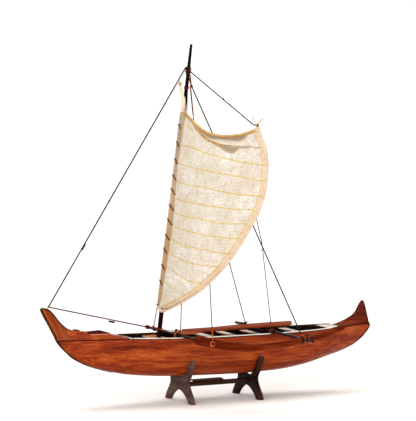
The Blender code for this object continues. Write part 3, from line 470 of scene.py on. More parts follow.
class Shape:
    """Vertices and faces of one piece in model coordinates, gathered from closed bodies."""

    def __init__(self):
        self.points = []
        self.faces = []
        self.slots = []

    def add_face(self, corners, slot=0):
        self.faces.append(corners)
        self.slots.append(slot)

    def loft(self, rings, slot=0, closed=False):
        """Skin closed rings of equal length; the ends are capped unless the row of rings closes."""
        base, count, last = len(self.points), len(rings[0]), len(rings) - 1
        for ring in rings:
            self.points.extend(map(tuple, ring))
        for a in range(last + 1 if closed else last):
            b = (a + 1) % len(rings)
            for i in range(count):
                j = (i + 1) % count
                low, high = base + a * count, base + b * count
                self.add_face((low + i, low + j, high + j, high + i), slot)
        if not closed:
            self.add_face(tuple(range(base, base + count))[::-1], slot)
            self.add_face(tuple(range(base + last * count, base + (last + 1) * count)), slot)

    def tube(self, points, radius, sides=8, slot=0, closed=False, pitch=None):
        """Round rod along a path; a pitch gives it the strands of laid cord."""
        points = np.asarray(points, float)
        ways = path_ways(points, closed)
        radii = np.broadcast_to(np.asarray(radius, float), (len(points),))
        side = unit(np.cross(ways[0], ANY_WAY))
        travelled = 0.0
        rings = []
        for i, (point, way) in enumerate(zip(points, ways)):
            side = unit(side - way * side.dot(way))
            up = np.cross(way, side)
            if i:
                travelled += np.linalg.norm(point - points[i - 1])
            reach = radii[i]
            if pitch:
                swell = np.abs(np.cos(STRANDS / 2 * (round_angles(sides) - 2 * math.pi * travelled / pitch)))
                reach = reach * (1 - STRAND_DEPTH + STRAND_DEPTH * swell)
            rings.append(oval(point, side, up, reach, reach, sides))
        self.loft(rings, slot, closed)

    def laid_cord(self, route, radius, pitch):
        self.tube(resample(route, ROUTE_STEP), radius, 9, pitch=pitch)

    def knot(self, centre, size, turn=0.0):
        """A trefoil pulled tight: how a small overhand knot looks."""
        c, s = math.cos(turn), math.sin(turn)
        points = []
        for t in round_angles(KNOT_STEPS):
            x = (2 + math.cos(3 * t)) * math.cos(2 * t)
            y = (2 + math.cos(3 * t)) * math.sin(2 * t) * KNOT_FLAT
            z = math.sin(3 * t) * KNOT_DEPTH
            points.append(centre + np.array((x * c - z * s, y, x * s + z * c)) * size * KNOT_REACH)
        self.tube(points, size * KNOT_CORD, 6, closed=True)

    def winding(self, centre, axis, radius, wire, turns, start=0.0, pitch=None, slot=0):
        """Turns of cord side by side round an axis, their middle at the centre."""
        axis = unit(axis)
        side = unit(np.cross(axis, (0.0, 0.0, 1.0) if abs(axis[2]) < 0.9 else (1.0, 0.0, 0.0)))
        up = np.cross(axis, side)
        length = turns * (pitch or wire * TURN_PITCH)
        points = []
        for share in np.linspace(0, 1, int(turns * TURN_STEPS) + 1):
            angle = start + 2 * math.pi * turns * share
            points.append(centre + axis * (share - 0.5) * length
                          + (side * math.cos(angle) + up * math.sin(angle)) * (radius + wire))
        self.tube(points, wire, 6, slot)

    def tail(self, start, end, radius, sag=0.0006):
        """Short free end of a knotted cord."""
        self.tube(eased([start, (start + end) / 2 + (0, 0, -sag), end], 0.0006), radius, 6)

    def piece(self, name, looks, nodes=(), smooth=50.0):
        """Make the object. It stands for the CAD nodes that are named."""
        mesh = bpy.data.meshes.new(name)
        mesh.from_pydata(place(self.points).tolist(), [], self.faces)
        dress_mesh(mesh, looks, self.slots, smooth)
        return fitted(add_object(name, mesh), nodes)


def path_ways(points, closed=False):
    """Unit direction of a path at each of its points."""
    if closed:
        steps = np.roll(points, -1, 0) - np.roll(points, 1, 0)
    else:
        steps = np.gradient(points, axis=0)
    return steps / np.maximum(np.linalg.norm(steps, axis=1), 1e-12)[:, None]


def resample(points, step):
    """Even steps along a path."""
    points = np.asarray(points, float)
    lengths = np.r_[0, np.cumsum(np.linalg.norm(np.diff(points, axis=0), axis=1))]
    count = max(int(lengths[-1] / step), 2)
    at = np.linspace(0, lengths[-1], count + 1)
    return np.stack([np.interp(at, lengths, points[:, k]) for k in range(3)], 1)


def smooth_step(p0, p1, p2, p3, count):
    """Points of the smooth curve from p1 up to p2."""
    return [0.5 * (2 * p1 + (p2 - p0) * t + (2 * p0 - 5 * p1 + 4 * p2 - p3) * t * t
                   + (3 * p1 - p0 - 3 * p2 + p3) * t ** 3) for t in np.arange(count) / count]


def eased(points, step=0.002):
    """Smooth curve through a few points."""
    points = np.asarray(points, float)
    padded = np.vstack([2 * points[0] - points[1], points, 2 * points[-1] - points[-2]])
    curve = []
    for corners in zip(padded, padded[1:], padded[2:], padded[3:]):
        curve += smooth_step(*corners, 8)
    return resample(curve + [points[-1]], step)


def closed_curve(points):
    """Smooth loop through a few points."""
    curve = []
    for i in range(len(points)):
        curve += smooth_step(*(points[(i + k) % len(points)] for k in (-1, 0, 1, 2)), 6)
    return curve


# Mast, spars and the sail's surface

BELLY_ACROSS, BELLY_UP = 0.85, 0.6  # the lower, the flatter the belly and the steeper its sides
BELLY_FOOT = 0.04  # share of the height by which the belly starts below the foot
HEAD_FADE = 5  # how fast the drop of the head fades downwards
LUFF_FADE = 3  # how fast the cloth leaves the yard's line
LEECH_ENDS = (0.0040, 0.0012)  # distance of the cloth's edge from the boom's two ends
LEECH_STEP = 0.0006
NORMAL_STEP = 0.004


def mast_point(z):
    return np.array((MAST_DECK[0] + MAST_LEAN * (z - MAST_DECK[1]), 0.0, z))


def mast_radius(z):
    return read_table(MAST_TAPER, 1, z)


def yard_point(z):
    return mast_point(z) - (read_table(YARD_BEND, 1, z), read_table(YARD_BEND, 2, z), 0.0)


def sail_plane_point(outboard, z):
    (low_z, low_angle), (high_z, high_angle) = SAIL_HEADING
    heading = math.radians(low_angle + (high_angle - low_angle) * clamp((z - low_z) / (high_z - low_z)))
    return mast_point(z) + (outboard / math.tan(heading) - SAIL_BACKSET, -outboard, 0.0)


def boom_outboard(z):
    return read_table(BOOM_COURSE, 0, z, key=1)


def boom_point(z):
    return sail_plane_point(boom_outboard(z), z)


def luff_z(up):
    return SAIL_FOOT_Z + (SAIL_HEAD_Z - SAIL_FOOT_Z) * up


def luff_up(z):
    return (z - SAIL_FOOT_Z) / (SAIL_HEAD_Z - SAIL_FOOT_Z)


def leech_edge(up):
    """Outboard distance and height of the cloth's edge, just inside the boom."""
    low, high = BOOM_COURSE[0][1] + LEECH_ENDS[0], BOOM_COURSE[-1][1] - LEECH_ENDS[1]
    z = low + (high - low) * up
    ahead = boom_outboard(z + LEECH_STEP) - boom_outboard(z - LEECH_STEP)
    length = math.hypot(ahead, 2 * LEECH_STEP)
    return boom_outboard(z) - SAIL_LEECH_IN * 2 * LEECH_STEP / length, z + SAIL_LEECH_IN * ahead / length


def sail_point(across, up):
    """Point of the cloth: across 0 at the yard, 1 at the boom; up 0 at the foot, 1 at the head."""
    low_z = luff_z(up)
    luff_out = SAIL_LUFF_OUT + read_table(YARD_BEND, 2, low_z)
    leech_out, leech_z = leech_edge(up)
    drop = read_table(SAIL_HEAD_DROP, 1, across) * up ** HEAD_FADE
    z = low_z + (leech_z - low_z) * across - drop
    point = sail_plane_point(luff_out + (leech_out - luff_out) * across, z)
    arch = math.sin(math.pi * clamp(across)) ** BELLY_ACROSS
    belly = SAIL_BELLY * arch * math.sin(math.pi * min(up + BELLY_FOOT, 1.0)) ** BELLY_UP
    luff_lead = SAIL_BACKSET - read_table(YARD_BEND, 1, z)
    point[0] += luff_lead * (1 - across) ** LUFF_FADE - belly
    return point


def sail_normal(across, up):
    """Direction out of the cloth's front face, towards the bow."""
    step = NORMAL_STEP
    by_across = sail_point(clamp(across + step), up) - sail_point(clamp(across - step), up)
    by_up = sail_point(across, clamp(up + step)) - sail_point(across, clamp(up - step))
    normal = unit(np.cross(by_across, by_up))
    return normal if normal[0] < 0 else -normal


# Sail

# Where each seam crosses the cloth, up at across 0, 1/4, 1/2, 3/4 and 1, head first
SEAMS = (
    (0.8207, 0.8552, 0.8536, 0.8338, 0.8137),
    (0.7358, 0.7466, 0.7546, 0.7477, 0.7310),
    (0.6402, 0.6510, 0.6600, 0.6525, 0.6520),
    (0.5533, 0.5622, 0.5690, 0.5700, 0.5790),
    (0.4900, 0.4885, 0.4920, 0.4898, 0.5030),
    (0.4369, 0.4205, 0.4178, 0.4156, 0.4210),
    (0.3606, 0.3493, 0.3405, 0.3400, 0.3360),
    (0.3131, 0.2798, 0.2636, 0.2602, 0.2610),
    (0.2120, 0.2078, 0.1877, 0.1675, 0.1630),
    (0.1330, 0.1303, 0.1186, 0.1010, 0.0830),
    (0.0550, 0.0490, 0.0410, 0.0310, 0.0210),
)
# columns: across, up
TOP_SEAM = ((0.0, 0.9217), (0.089, 0.9417), (0.176, 0.9428))
FOLD_LINE = ((0.100, 0.990), (0.149, 0.9808), (0.212, 0.963), (0.329, 0.9481), (0.438, 0.9354),
             (0.55, 0.9287), (0.666, 0.9245), (0.859, 0.9163), (0.974, 0.9048))
# Lower edges of the painted shade under the head's hem and under its fold, columns: across, up
HEM_SHADE = ((0.14, 0.990), (0.212, 0.970), (0.316, 0.953), (0.408, 0.948), (0.529, 0.9590), (0.66, 0.954),
             (0.755, 0.9486), (0.836, 0.964), (0.908, 0.989))
FOLD_SHADE = ((0.44, 0.925), (0.47, 0.916), (0.545, 0.901), (0.606, 0.883), (0.683, 0.871), (0.723, 0.884),
              (0.753, 0.9025), (0.856, 0.905), (0.971, 0.898))
# Inner edge of the boom's sleeve, head first, and of the luff's doubled band, columns: across, up
BOOM_SEAM = ((0.955, 0.992), (0.951, 0.978), (0.958, 0.951), (0.968, 0.906), (0.969, 0.81), (0.972, 0.73),
             (0.976, 0.67), (0.969, 0.63), (0.969, 0.528), (0.964, 0.394), (0.957, 0.338), (0.953, 0.262),
             (0.945, 0.207), (0.925, 0.164), (0.918, 0.121), (0.902, 0.089), (0.836, 0.058), (0.786, 0.027),
             (0.517, 0.006))
LUFF_SEAM = ((0.045, 0.990), (0.043, 0.942), (0.040, 0.835), (0.030, 0.740), (0.043, 0.654), (0.073, 0.553),
             (0.090, 0.478), (0.122, 0.403), (0.137, 0.300), (0.143, 0.196), (0.136, 0.117), (0.225, 0.039),
             (0.240, 0.010))
CREASE = ((0.317, 0.772), (0.368, 0.694), (0.43, 0.617), (0.474, 0.556))
CLOTH_HALF = 0.00035
SEAM_SIZE = (0.00095, 0.00062)  # half width and half thickness of the sewn cords
SEAM_SPAN = (0.004, 0.985)  # where they start and end, across
# Half width of the fold along the head, columns: across, half width
FOLD_WIDTH = ((0.10, 0.0010), (0.25, 0.0016), (0.45, 0.0017), (0.60, 0.0010), (0.70, 0.0007), (1.00, 0.0006))
# Rise of the cloth off its mean surface and its half width, for seams, the head's fold and the crease
SEAM_RISE = (-0.0004, 0.012)
FOLD_RISE = (0.0016, 0.016)
CREASE_RISE = (0.0009, 0.018)
CREASE_UPS = (0.54, 0.79)
# Soft waves and the finer ones on them: rise, waves across and up, times finer
WAVE_RISE, WAVES_ACROSS, WAVES_UP = 0.0011, 3.0, 4.0
FINE_RISE, TIMES_FINER = 0.0005, 3.1
EDGE_FADE = 0.06  # width of the edges where the cloth lies on its mean surface
BELL_FADE = 0.08
HEM_SPAN, FOLD_SPAN = (0.14, 0.91), (0.44, 0.97)  # shaded parts, across
HEM_LOW = 0.90
SHADE_FADE, FOLD_FADE = 0.012, 0.004
# width of the painted shade beside the yard, across
LUFF_SHADE_WIDTH = 0.05
CLOTH_CELLS = (64, 104)
# Sewn edges across the whole head, columns: up, half width, half thickness, slot
HEM_STRIPS = ((0.993, 0.0022, 0.0014, 0), (0.9848, 0.0008, 0.0017, 1))


def seam_up(row, across):
    table = tuple((0.25 * i, value) for i, value in enumerate(row))
    return read_table(table, 1, across)


def across_at(table, up):
    """Across on a line that is given head first."""
    rows = table[::-1]
    return float(np.interp(up, [row[1] for row in rows], [row[0] for row in rows]))


def ridge(gap, rise, half_width):
    return rise * math.exp(-(gap / half_width) ** 2)


def bell(value, low, high):
    """0 outside low to high, 1 well inside it."""
    return clamp((value - low) / BELL_FADE) * clamp((high - value) / BELL_FADE)


def ripple(across, up):
    """Small rise of the cloth off its mean surface: panels between seams, creases, head fold."""
    point = Vector((across * WAVES_ACROSS, up * WAVES_UP, 0.3))
    rise = WAVE_RISE * (noise.noise(point) - 0.1) + FINE_RISE * noise.noise(point * TIMES_FINER)
    for row in SEAMS:
        rise += ridge(up - seam_up(row, across), *SEAM_RISE)
    rise += ridge(up - read_table(FOLD_LINE, 1, across), *FOLD_RISE) * bell(across, 0.15, 0.97)
    if CREASE_UPS[0] < up < CREASE_UPS[1]:
        rise += ridge(across - across_at(CREASE, up), *CREASE_RISE)
    return rise * min(min(across, 1 - across) / EDGE_FADE, 1.0)


def cloth_point(across, up):
    across, up = clamp(across), clamp(up)
    return sail_point(across, up) + sail_normal(across, up) * ripple(across, up)


def fold_shade(across, up):
    """How much painted shade a spot gets in the head's folds, 0 to 1."""
    shade = 0.0
    if HEM_SPAN[0] < across < HEM_SPAN[1] and up > HEM_LOW:
        shade = clamp((up - read_table(HEM_SHADE, 1, across)) / SHADE_FADE) * 0.95
    if FOLD_SPAN[0] < across < FOLD_SPAN[1]:
        inside = clamp((up - read_table(FOLD_SHADE, 1, across)) / SHADE_FADE)
        shade = max(shade, inside * clamp((read_table(FOLD_LINE, 1, across) - up) / FOLD_FADE) * 0.9)
    return shade


def luff_painted_shade(across, up):
    """Painted shade beside the yard, where the mast shows dark through the cloth, 0 to 1."""
    return clamp(math.exp(-across / LUFF_SHADE_WIDTH) * (0.6 + 0.3 * noise.noise(Vector((0.0, up * 14, 2.0)))))


def make_cloth():
    """The sail's cloth, with its longest courses and its area."""
    columns, rows = CLOTH_CELLS
    width = columns + 1
    spots = [(across, up) for up in np.linspace(0, 1, rows + 1) for across in np.linspace(0, 1, width)]
    middles = np.array([cloth_point(*spot) for spot in spots])
    offsets = np.array([sail_normal(*spot) for spot in spots]) * CLOTH_HALF
    front = middles + offsets
    shape = Shape()
    shape.points = [*front, *(middles - offsets)]
    other = len(front)
    for r in range(rows):
        for c in range(columns):
            i = r * width + c
            shape.add_face((i, i + width, i + width + 1, i + 1))
            shape.add_face((other + i, other + i + 1, other + i + width + 1, other + i + width))
    rim = [*range(width), *(r * width + columns for r in range(1, rows + 1))]
    rim += [rows * width + c for c in range(columns - 1, -1, -1)]
    rim += [r * width for r in range(rows - 1, 0, -1)]
    for a, b in zip(rim, rim[1:] + rim[:1]):
        shape.add_face((a, b, other + b, other + a))
    cloth = shape.piece("sail_cloth", "sail linen", ["sail"], smooth=60.0)
    # painted shade in the head's folds and beside the yard, kept on the mesh for the sail's finish
    for name, value_at in (("shade", fold_shade), ("slub_and_luff_shade", luff_painted_shade)):
        layer = cloth.data.attributes.new(name, "FLOAT", "POINT")
        layer.data.foreach_set("value", [value_at(*spot) for spot in spots] * 2)
    grid = front.reshape(rows + 1, width, 3)
    across_arcs = np.linalg.norm(np.diff(grid, axis=1), axis=2).sum(1)
    up_arcs = np.linalg.norm(np.diff(grid, axis=0), axis=2).sum(0)
    cells = np.cross(grid[:-1, 1:] - grid[:-1, :-1], grid[1:, :-1] - grid[:-1, :-1])
    area = float(np.linalg.norm(cells, axis=2).sum())
    return cloth, float(across_arcs.max()), float(up_arcs.max()), area


def seam_strip(shape, path, half_width, half_thick, slot=0):
    """Flat cord sewn along a path of (across, up), standing a little out of both faces of the cloth."""
    points = np.array([cloth_point(*spot) for spot in path])
    normals = [sail_normal(*spot) for spot in path]
    half_widths = np.broadcast_to(half_width, (len(path),))
    rings = []
    for i, (point, way, normal, wide) in enumerate(zip(points, path_ways(points), normals, half_widths)):
        puff = 1.0 + 0.12 * math.sin(i * 2.4)
        rings.append(oval(point, unit(np.cross(way, normal)), normal, wide * puff, half_thick * puff))
    shape.loft(rings, slot)


def table_path(table, start, count):
    """Points on a line that is given as across and up, from start to its last row."""
    return [(across, read_table(table, 1, across)) for across in np.linspace(start, table[-1][0], count)]


def make_seams():
    shape = Shape()
    for row in SEAMS:
        seam_strip(shape, [(a, seam_up(row, a)) for a in np.linspace(*SEAM_SPAN, 90)], *SEAM_SIZE)
    seam_strip(shape, table_path(TOP_SEAM, SEAM_SPAN[0], 24), *SEAM_SIZE)
    seams = shape.piece("sail_seams", "seam thread")
    hem = Shape()
    for up, *size in HEM_STRIPS:
        seam_strip(hem, [(across, up) for across in np.linspace(0.0, 1.0, 110)], *size)
    fold = table_path(FOLD_LINE, FOLD_LINE[0][0], 90)
    seam_strip(hem, fold, [read_table(FOLD_WIDTH, 1, across) for across, _ in fold], 0.0010, slot=1)
    return seams, hem.piece("sail_hem", ("hem cloth", "hem thread"))


# Sleeves of the sail

SLEEVE_LIP = 0.00055  # half the gap between a sleeve's two sides at its seam
SLEEVE_OPEN = 0.80  # half the gap beside the spar, over the sleeve's radius
SLEEVE_CLOSING = 1.4  # how fast the gap closes towards the seam
# Radius of each sleeve, how far its cloth stands off unevenly, and where its sides have points
LUFF_RADIUS, BOOM_RADIUS = 0.00205, 0.00245
LUFF_WOBBLE, BOOM_WOBBLE = 0.00022, 0.00040
LUFF_SHARES, BOOM_SHARES = (0.0, 0.2, 0.45, 0.72, 1.0), (0.0, 0.25, 0.5, 0.75, 1.0)
LUFF_SPAN = (0.004, 0.990)  # of the luff's sleeve, up
# Rings of the cloth on the yard's tip, and the number of them over which its gathers fade
TIP_RINGS, TIP_GATHER = 40, 15
FOOT_RADII = (0.0030, 0.0024)


def sleeve_ring(core, path, radius, wobble):
    """Cloth round a rod at core, its two sides meeting at the last spot of a path of (across, up)."""
    inward = unit(cloth_point(*path[0]) - core)
    normal = sail_normal(*path[0])
    normal = unit(normal - inward * normal.dot(inward))
    front, back = [], []
    for i, spot in enumerate(path):
        fade = 1 - i / (len(path) - 1)
        open_by = SLEEVE_LIP + (radius * SLEEVE_OPEN - SLEEVE_LIP) * fade ** SLEEVE_CLOSING
        front.append(cloth_point(*spot) + sail_normal(*spot) * (open_by + wobble * fade))
        back.append(cloth_point(*spot) - sail_normal(*spot) * open_by)
    round_rod = [core + (normal * math.cos(angle) - inward * math.sin(angle)) * (radius + wobble * 0.6)
                 for angle in math.pi * np.arange(9) / 8]
    return np.array(front[::-1] + round_rod + back)


def make_tip_sleeve():
    """Cloth pulled over the yard's tip, gathered where it leaves the sail."""
    points, radii = [], []
    for i, z in enumerate(np.linspace(SAIL_HEAD_Z - 0.003, YARD_BEND[-1][0] - 0.001, TIP_RINGS)):
        gather = math.exp(-(i / TIP_GATHER) ** 2)
        points.append(yard_point(z) + (0.0004 + 0.0013 * gather, -0.0006 - 0.0008 * gather, 0.0))
        radii.append(0.0029 - 0.0005 * i / (TIP_RINGS - 1) + 0.0009 * gather
                     + 0.0003 * noise.noise(Vector((i * 0.5, 4.0, 0.0))))
    radii[-1] *= 0.6
    shape = Shape()
    shape.tube(points, radii, 14)
    shape.piece("yard_tip_sleeve", "tip cloth")


def make_foot_sleeve():
    """Cloth round the corner between the yard's foot and the boom's."""
    boom_z = BOOM_COURSE[0][1]
    line = eased([
        yard_point(SAIL_FOOT_Z + 0.0050) + (0.0006, -0.0006, 0.0),
        yard_point(SAIL_FOOT_Z + 0.0005) + (0.0012, -0.0010, 0.0),
        (yard_point(SAIL_FOOT_Z) + boom_point(boom_z)) / 2 + (0.0, -0.0010, -0.0006),
        boom_point(boom_z) + (0.0, -0.0004, 0.0006),
        boom_point(boom_z + 0.0040),
    ], 0.0006)
    shape = Shape()
    shape.tube(line, np.linspace(*FOOT_RADII, len(line)), 12)
    shape.piece("sail_foot_sleeve", "sleeve cloth")


def make_luff_sleeve():
    rings = []
    for up in np.linspace(*LUFF_SPAN, 120):
        reach = across_at(LUFF_SEAM, up)
        wobble = LUFF_WOBBLE * noise.noise(Vector((1.0, up * 46, 0.0)))
        path = [(reach * share, up) for share in LUFF_SHARES]
        rings.append(sleeve_ring(yard_point(luff_z(up)), path, LUFF_RADIUS, wobble))
    shape = Shape()
    shape.loft(rings)
    return shape.piece("luff_sleeve", "luff cloth")


def make_boom_sleeve():
    """The boom's sleeve, the cord along its inner edge and the seams that go on round it."""
    axis = np.array([boom_point(z) for z in np.linspace(BOOM_COURSE[0][1], BOOM_COURSE[-1][1], 400)])
    edge_ups = np.linspace(0, 1, 300)
    edge = np.array([sail_point(1.0, up) for up in edge_ups])
    corners = [cloth_point(*spot) for spot in BOOM_SEAM]
    lengths = np.r_[0, np.cumsum([np.linalg.norm(b - a) for a, b in zip(corners, corners[1:])])]
    at = np.linspace(0, lengths[-1], 190)
    across_line, up_line = (np.interp(at, lengths, column) for column in zip(*BOOM_SEAM))
    last = len(axis) - 1
    rings = []
    for travelled, across, up in zip(at, across_line, up_line):
        last = min(int(np.linalg.norm(axis - cloth_point(across, up), axis=1).argmin()), last)
        core = axis[last]
        edge_up = edge_ups[int(np.linalg.norm(edge - core, axis=1).argmin())]
        path = [(1 + (across - 1) * share, edge_up + (up - edge_up) * share) for share in BOOM_SHARES]
        wobble = BOOM_WOBBLE * noise.noise(Vector((3.0, travelled * 190, 0.0)))
        rings.append(sleeve_ring(core, path, BOOM_RADIUS, wobble))
    shape = Shape()
    shape.loft(rings)
    sleeve = shape.piece("boom_sleeve", "sleeve cloth")
    shape = Shape()
    seam_strip(shape, list(zip(across_line, up_line)), 0.0007, 0.0010)
    for row in SEAMS:
        k = int(np.abs(up_line - seam_up(row, SEAM_SPAN[1])).argmin())
        shape.tube(rings[k][:14], 0.00038, 6)
    return sleeve, shape.piece("sleeve_seams", "seam thread")


def make_sail():
    cloth, width, length, area = make_cloth()
    seams = make_seams()
    make_tip_sleeve()
    make_foot_sleeve()
    sleeves = (make_luff_sleeve(), *make_boom_sleeve())


# CAD nodes that keep their shape

HULL_AXIS_Z = 0.106
BAND_SPANS = ((-0.1736, -0.1684), (-0.1557, -0.1194))  # of the bow cover's bands, in x
PROW_END = -0.1830


def hull_side(centre, normal):
    """0 on the hull's outer skin and rim, 1 inside the cockpit."""
    y, z = centre[1] - SHIFT[1], centre[2]
    inward = normal[1] * y + normal[2] * (z - HULL_AXIS_Z)
    return 0 if inward > 0 or normal[2] > 0.9 and z > HULL_AXIS_Z else 1


def cover_part(centre, normal):
    """1 on the flat tops of the bow cover's bands, which carry a painted dark reflection, 2 on the prow, 0
    elsewhere.
    """
    x = centre[0] - SHIFT[0]
    if normal[2] > 0.35 and any(start < x < end for start, end in BAND_SPANS):
        return 1
    return 2 if x < PROW_END else 0


def rail_part(centre, normal):
    """1 on a rail's face towards the cockpit, 0 on its pale top and outside."""
    outward = normal[1] * (centre[1] - SHIFT[1])
    return 1 if outward < 0 and normal[2] < 0.5 else 0


def thwart_part(centre, normal):
    """1 on a thwart's edges, 0 on its top and underside."""
    return 1 if abs(normal[2]) < 0.5 else 0


STAND_BOARD = {"bevel": 0.0006, "flat": True}
# Pieces with a node's shape, columns: node, piece, finishes, slot, settings
WOODWORK = (
    ("hull", "hull_shell", ("hull wood", "hull inside"), "hull_wood", {"pick": hull_side}),
    ("bow_cover", "bow_cover_shell", ("hull wood", "band wood", "prow wood"), "hull_wood",
     {"smooth": 30.0, "pick": cover_part}),
    ("stern_cover", "stern_fin", "fin wood", "dark_wood", {}),
    *(("rail_" + side, "gunwale_" + side, ("rail paint", "hull inside"), "rail_paint",
       {"bevel": 0.0005, "pick": rail_part}) for side in ("near", "far")),
    *((f"thwart_{i}", f"thwart_board_{i}", ("rail paint", "thwart edge wood"), "rail_paint",
       {"bevel": 0.0004, "flat": True, "pick": thwart_part}) for i in range(1, 6)),
    ("mast_thwart", "mast_partner", ("thwart edge wood", "rail paint"), "rail_paint",
     {"bevel": 0.0004, "pick": thwart_part}),
    ("stern_deck", "stern_deck_board", "rail paint", "rail_paint", {"bevel": 0.0003}),
    ("ama", "float", "dark wood", "dark_wood", {}),
    ("deck_board", "deck_plank", "board wood", "board_wood", {"bevel": 0.0007, "flat": True}),
    ("stand_frame_fore", "cradle_fore", "fore frame wood", "stand_wood", STAND_BOARD),
    ("stand_frame_aft", "cradle_aft", "stand wood", "stand_wood", STAND_BOARD),
    ("stand_plaque", "cradle_plaque", "stand wood", "stand_wood", STAND_BOARD),
)
# Nodes that show as they are, columns: node, finish
DRESSED = (
    ("stand_stringer", "stringer wood"), ("mast", "mast wood"), ("iako_front", "beam wood"),
    ("iako_rear", "beam wood"), ("cleat", "mast wood"), ("bow_eye", "brass wire"),
    ("forestay_toggle", "mast wood"), ("bow_line_toggle", "mast wood"), ("yard", "cane"), ("boom", "cane"),
    ("sheet_upper", "thread"), ("board_lashing_rear", "red cord"),
)


def welded_copy(node, name, looks, slot_name, smooth=38.0, bevel=0.0, flat=False, pick=None):
    """Piece with a CAD node's shape and joined corners, so edges can be rounded and shading is smooth."""
    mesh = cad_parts[node].data.copy()
    mesh.name = name
    maker = bmesh.new()
    maker.from_mesh(mesh)
    bmesh.ops.remove_doubles(maker, verts=maker.verts, dist=0.00001)
    if flat:
        bmesh.ops.dissolve_limit(maker, angle_limit=math.radians(2), verts=maker.verts, edges=maker.edges)
    maker.normal_update()
    maker.to_mesh(mesh)
    maker.free()
    if mesh.attributes.get("custom_normal"):
        mesh.attributes.remove(mesh.attributes["custom_normal"])
    indices = [pick(face.center, face.normal) if pick else 0 for face in mesh.polygons]
    dress_mesh(mesh, looks, indices, smooth)
    obj = add_object(name, mesh)
    if bevel:
        rounding = obj.modifiers.new("rounded edges", "BEVEL")
        rounding.width = bevel
        rounding.segments = 2
        rounding.limit_method = "ANGLE"
        rounding.angle_limit = math.radians(32)
        rounding.harden_normals = False
    fitted(obj, [node])


def make_woodwork():
    for *row, settings in WOODWORK:
        welded_copy(*row, **settings)
    for node, look in DRESSED:
        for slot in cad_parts[node].material_slots:
            slot.material = LOOKS[look]


# Strips on the hull's edges

# Hull outline where the strips lie, columns: x, half_beam, sheer_z
SHEER = (
    (-0.2070, 0.0024, 0.1142), (-0.1990, 0.0042, 0.1143), (-0.1785, 0.0098, 0.1143),
    (-0.1515, 0.0176, 0.1141), (-0.1070, 0.0272, 0.1136), (-0.0700, 0.0330, 0.1122),
    (0.0000, 0.0412, 0.1096), (0.0620, 0.0436, 0.1082), (0.1230, 0.0436, 0.1076), (0.1850, 0.0420, 0.1072),
    (0.2400, 0.0368, 0.1072), (0.2950, 0.0252, 0.1082), (0.3420, 0.0106, 0.1094), (0.3650, 0.0044, 0.1097),
    (0.3755, 0.0024, 0.1090),
)
# Edge pieces on the middle plane, columns: x, z
STEM_EDGE = ((-0.2358, 0.1688), (-0.2334, 0.1630), (-0.2279, 0.1525), (-0.2215, 0.1415), (-0.2155, 0.1305),
             (-0.2108, 0.1218), (-0.2070, 0.1138), (-0.1992, 0.1040), (-0.1900, 0.0950), (-0.1785, 0.0847),
             (-0.1650, 0.0770), (-0.1515, 0.0706), (-0.1300, 0.0632), (-0.1070, 0.0567))
PROW_BACK = ((-0.2340, 0.1695), (-0.2225, 0.1665), (-0.2150, 0.1603), (-0.2080, 0.1521), (-0.2005, 0.1433),
             (-0.1938, 0.1373), (-0.1889, 0.1342))
STERN_EDGE = ((0.3746, 0.1100), (0.3756, 0.1090), (0.3755, 0.1042), (0.3655, 0.0917), (0.3540, 0.0825),
              (0.3420, 0.0755), (0.3200, 0.0672), (0.2950, 0.0601))
# Dark tubes along these lines, painted shade on the stem, the prow's back and the stern edge, columns: line,
# radius at its start
EDGE_TUBES = ((STEM_EDGE, 0.0017), (PROW_BACK, 0.0016), (STERN_EDGE, 0.0013))
# Cover edges with a strip on each side, columns: node, lowest z, highest z, whether it is the aft edge
COVER_EDGES = (("bow_cover", 0.1160, 0.1680, False), ("bow_cover", 0.1380, 0.1675, True),
               ("stern_cover", 0.1120, 0.1468, True), ("stern_cover", 0.1200, 0.1468, False))
EDGE_INSET = 0.0009
# Painted highlights along the edges of the bow cover's bands, columns: start x, end x, z
BAND_LINES = ((-0.1549, -0.1202, 0.1237), (-0.1729, -0.1691, 0.1292))
BAND_REACH = 0.985  # their distance from the middle plane over the half beam
SIDES = (np.ones(3), np.array((1.0, -1.0, 1.0)))
# Strips below the sheer, columns: start x, end x, lift, distance out, rings, half height, half thickness
BOW_STRIP = (-0.2066, -0.0872, 0.0001, 0.0001, 90, 0.0010, 0.0003)
STERN_STRIP = (0.3180, 0.3752, 0.0004, 0.0002, 40, 0.0013, 0.0003)
# dark strip just below the rails: painted shadow of the rails
RAIL_SHADOW_STRIP = (-0.0860, 0.3120, 0.0007, 0.0003, 90, 0.0008, 0.0004)
COVER_STRIP, BAND_STRIP = (0.0008, 0.0003), (0.0007, 0.0003)


def side_line(start, end, lift, out, count):
    """Line along the hull's side near its sheer, on the near side."""
    return np.array([(x, -read_table(SHEER, 1, x) - out, read_table(SHEER, 2, x) + lift)
                     for x in np.linspace(start, end, count)])


def flat_strips(shape, line, half_high, half_thick, slot=0):
    """Strip lying on each of the hull's sides along a line that is given for the near side."""
    for side in SIDES:
        points = line * side
        rings = []
        for point, way in zip(points, path_ways(points)):
            out = unit(np.cross(way, (0.0, 0.0, 1.0)))
            rings.append(oval(point, np.cross(out, way), out, half_high, half_thick))
        shape.loft(rings, slot)


def edge_on_side(node, low, high, aft):
    """Line on the near side of a cover, just inside its fore or aft edge between two heights."""
    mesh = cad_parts[node].data
    tree = BVHTree.FromPolygons([vertex.co for vertex in mesh.vertices],
                                [face.vertices[:] for face in mesh.polygons])
    far = 1.0 if aft else -1.0
    outline = []
    for z in np.linspace(high, low, 40):
        hit = tree.ray_cast(Vector(place((far, 0.0002, z))), Vector((-far, 0.0, 0.0)))[0]
        outline.append((hit.x - SHIFT[0], 0.0, z))
    line = []
    for point, way in zip(np.array(outline), path_ways(np.array(outline))):
        x, _, z = point + np.array((way[2], 0.0, -way[0])) * far * EDGE_INSET
        hit = tree.ray_cast(Vector(place((x, -1.0, z))), Vector((0.0, 1.0, 0.0)))[0]
        if hit:
            line.append((x, hit.y - SHIFT[1], z))
    return np.array(line)


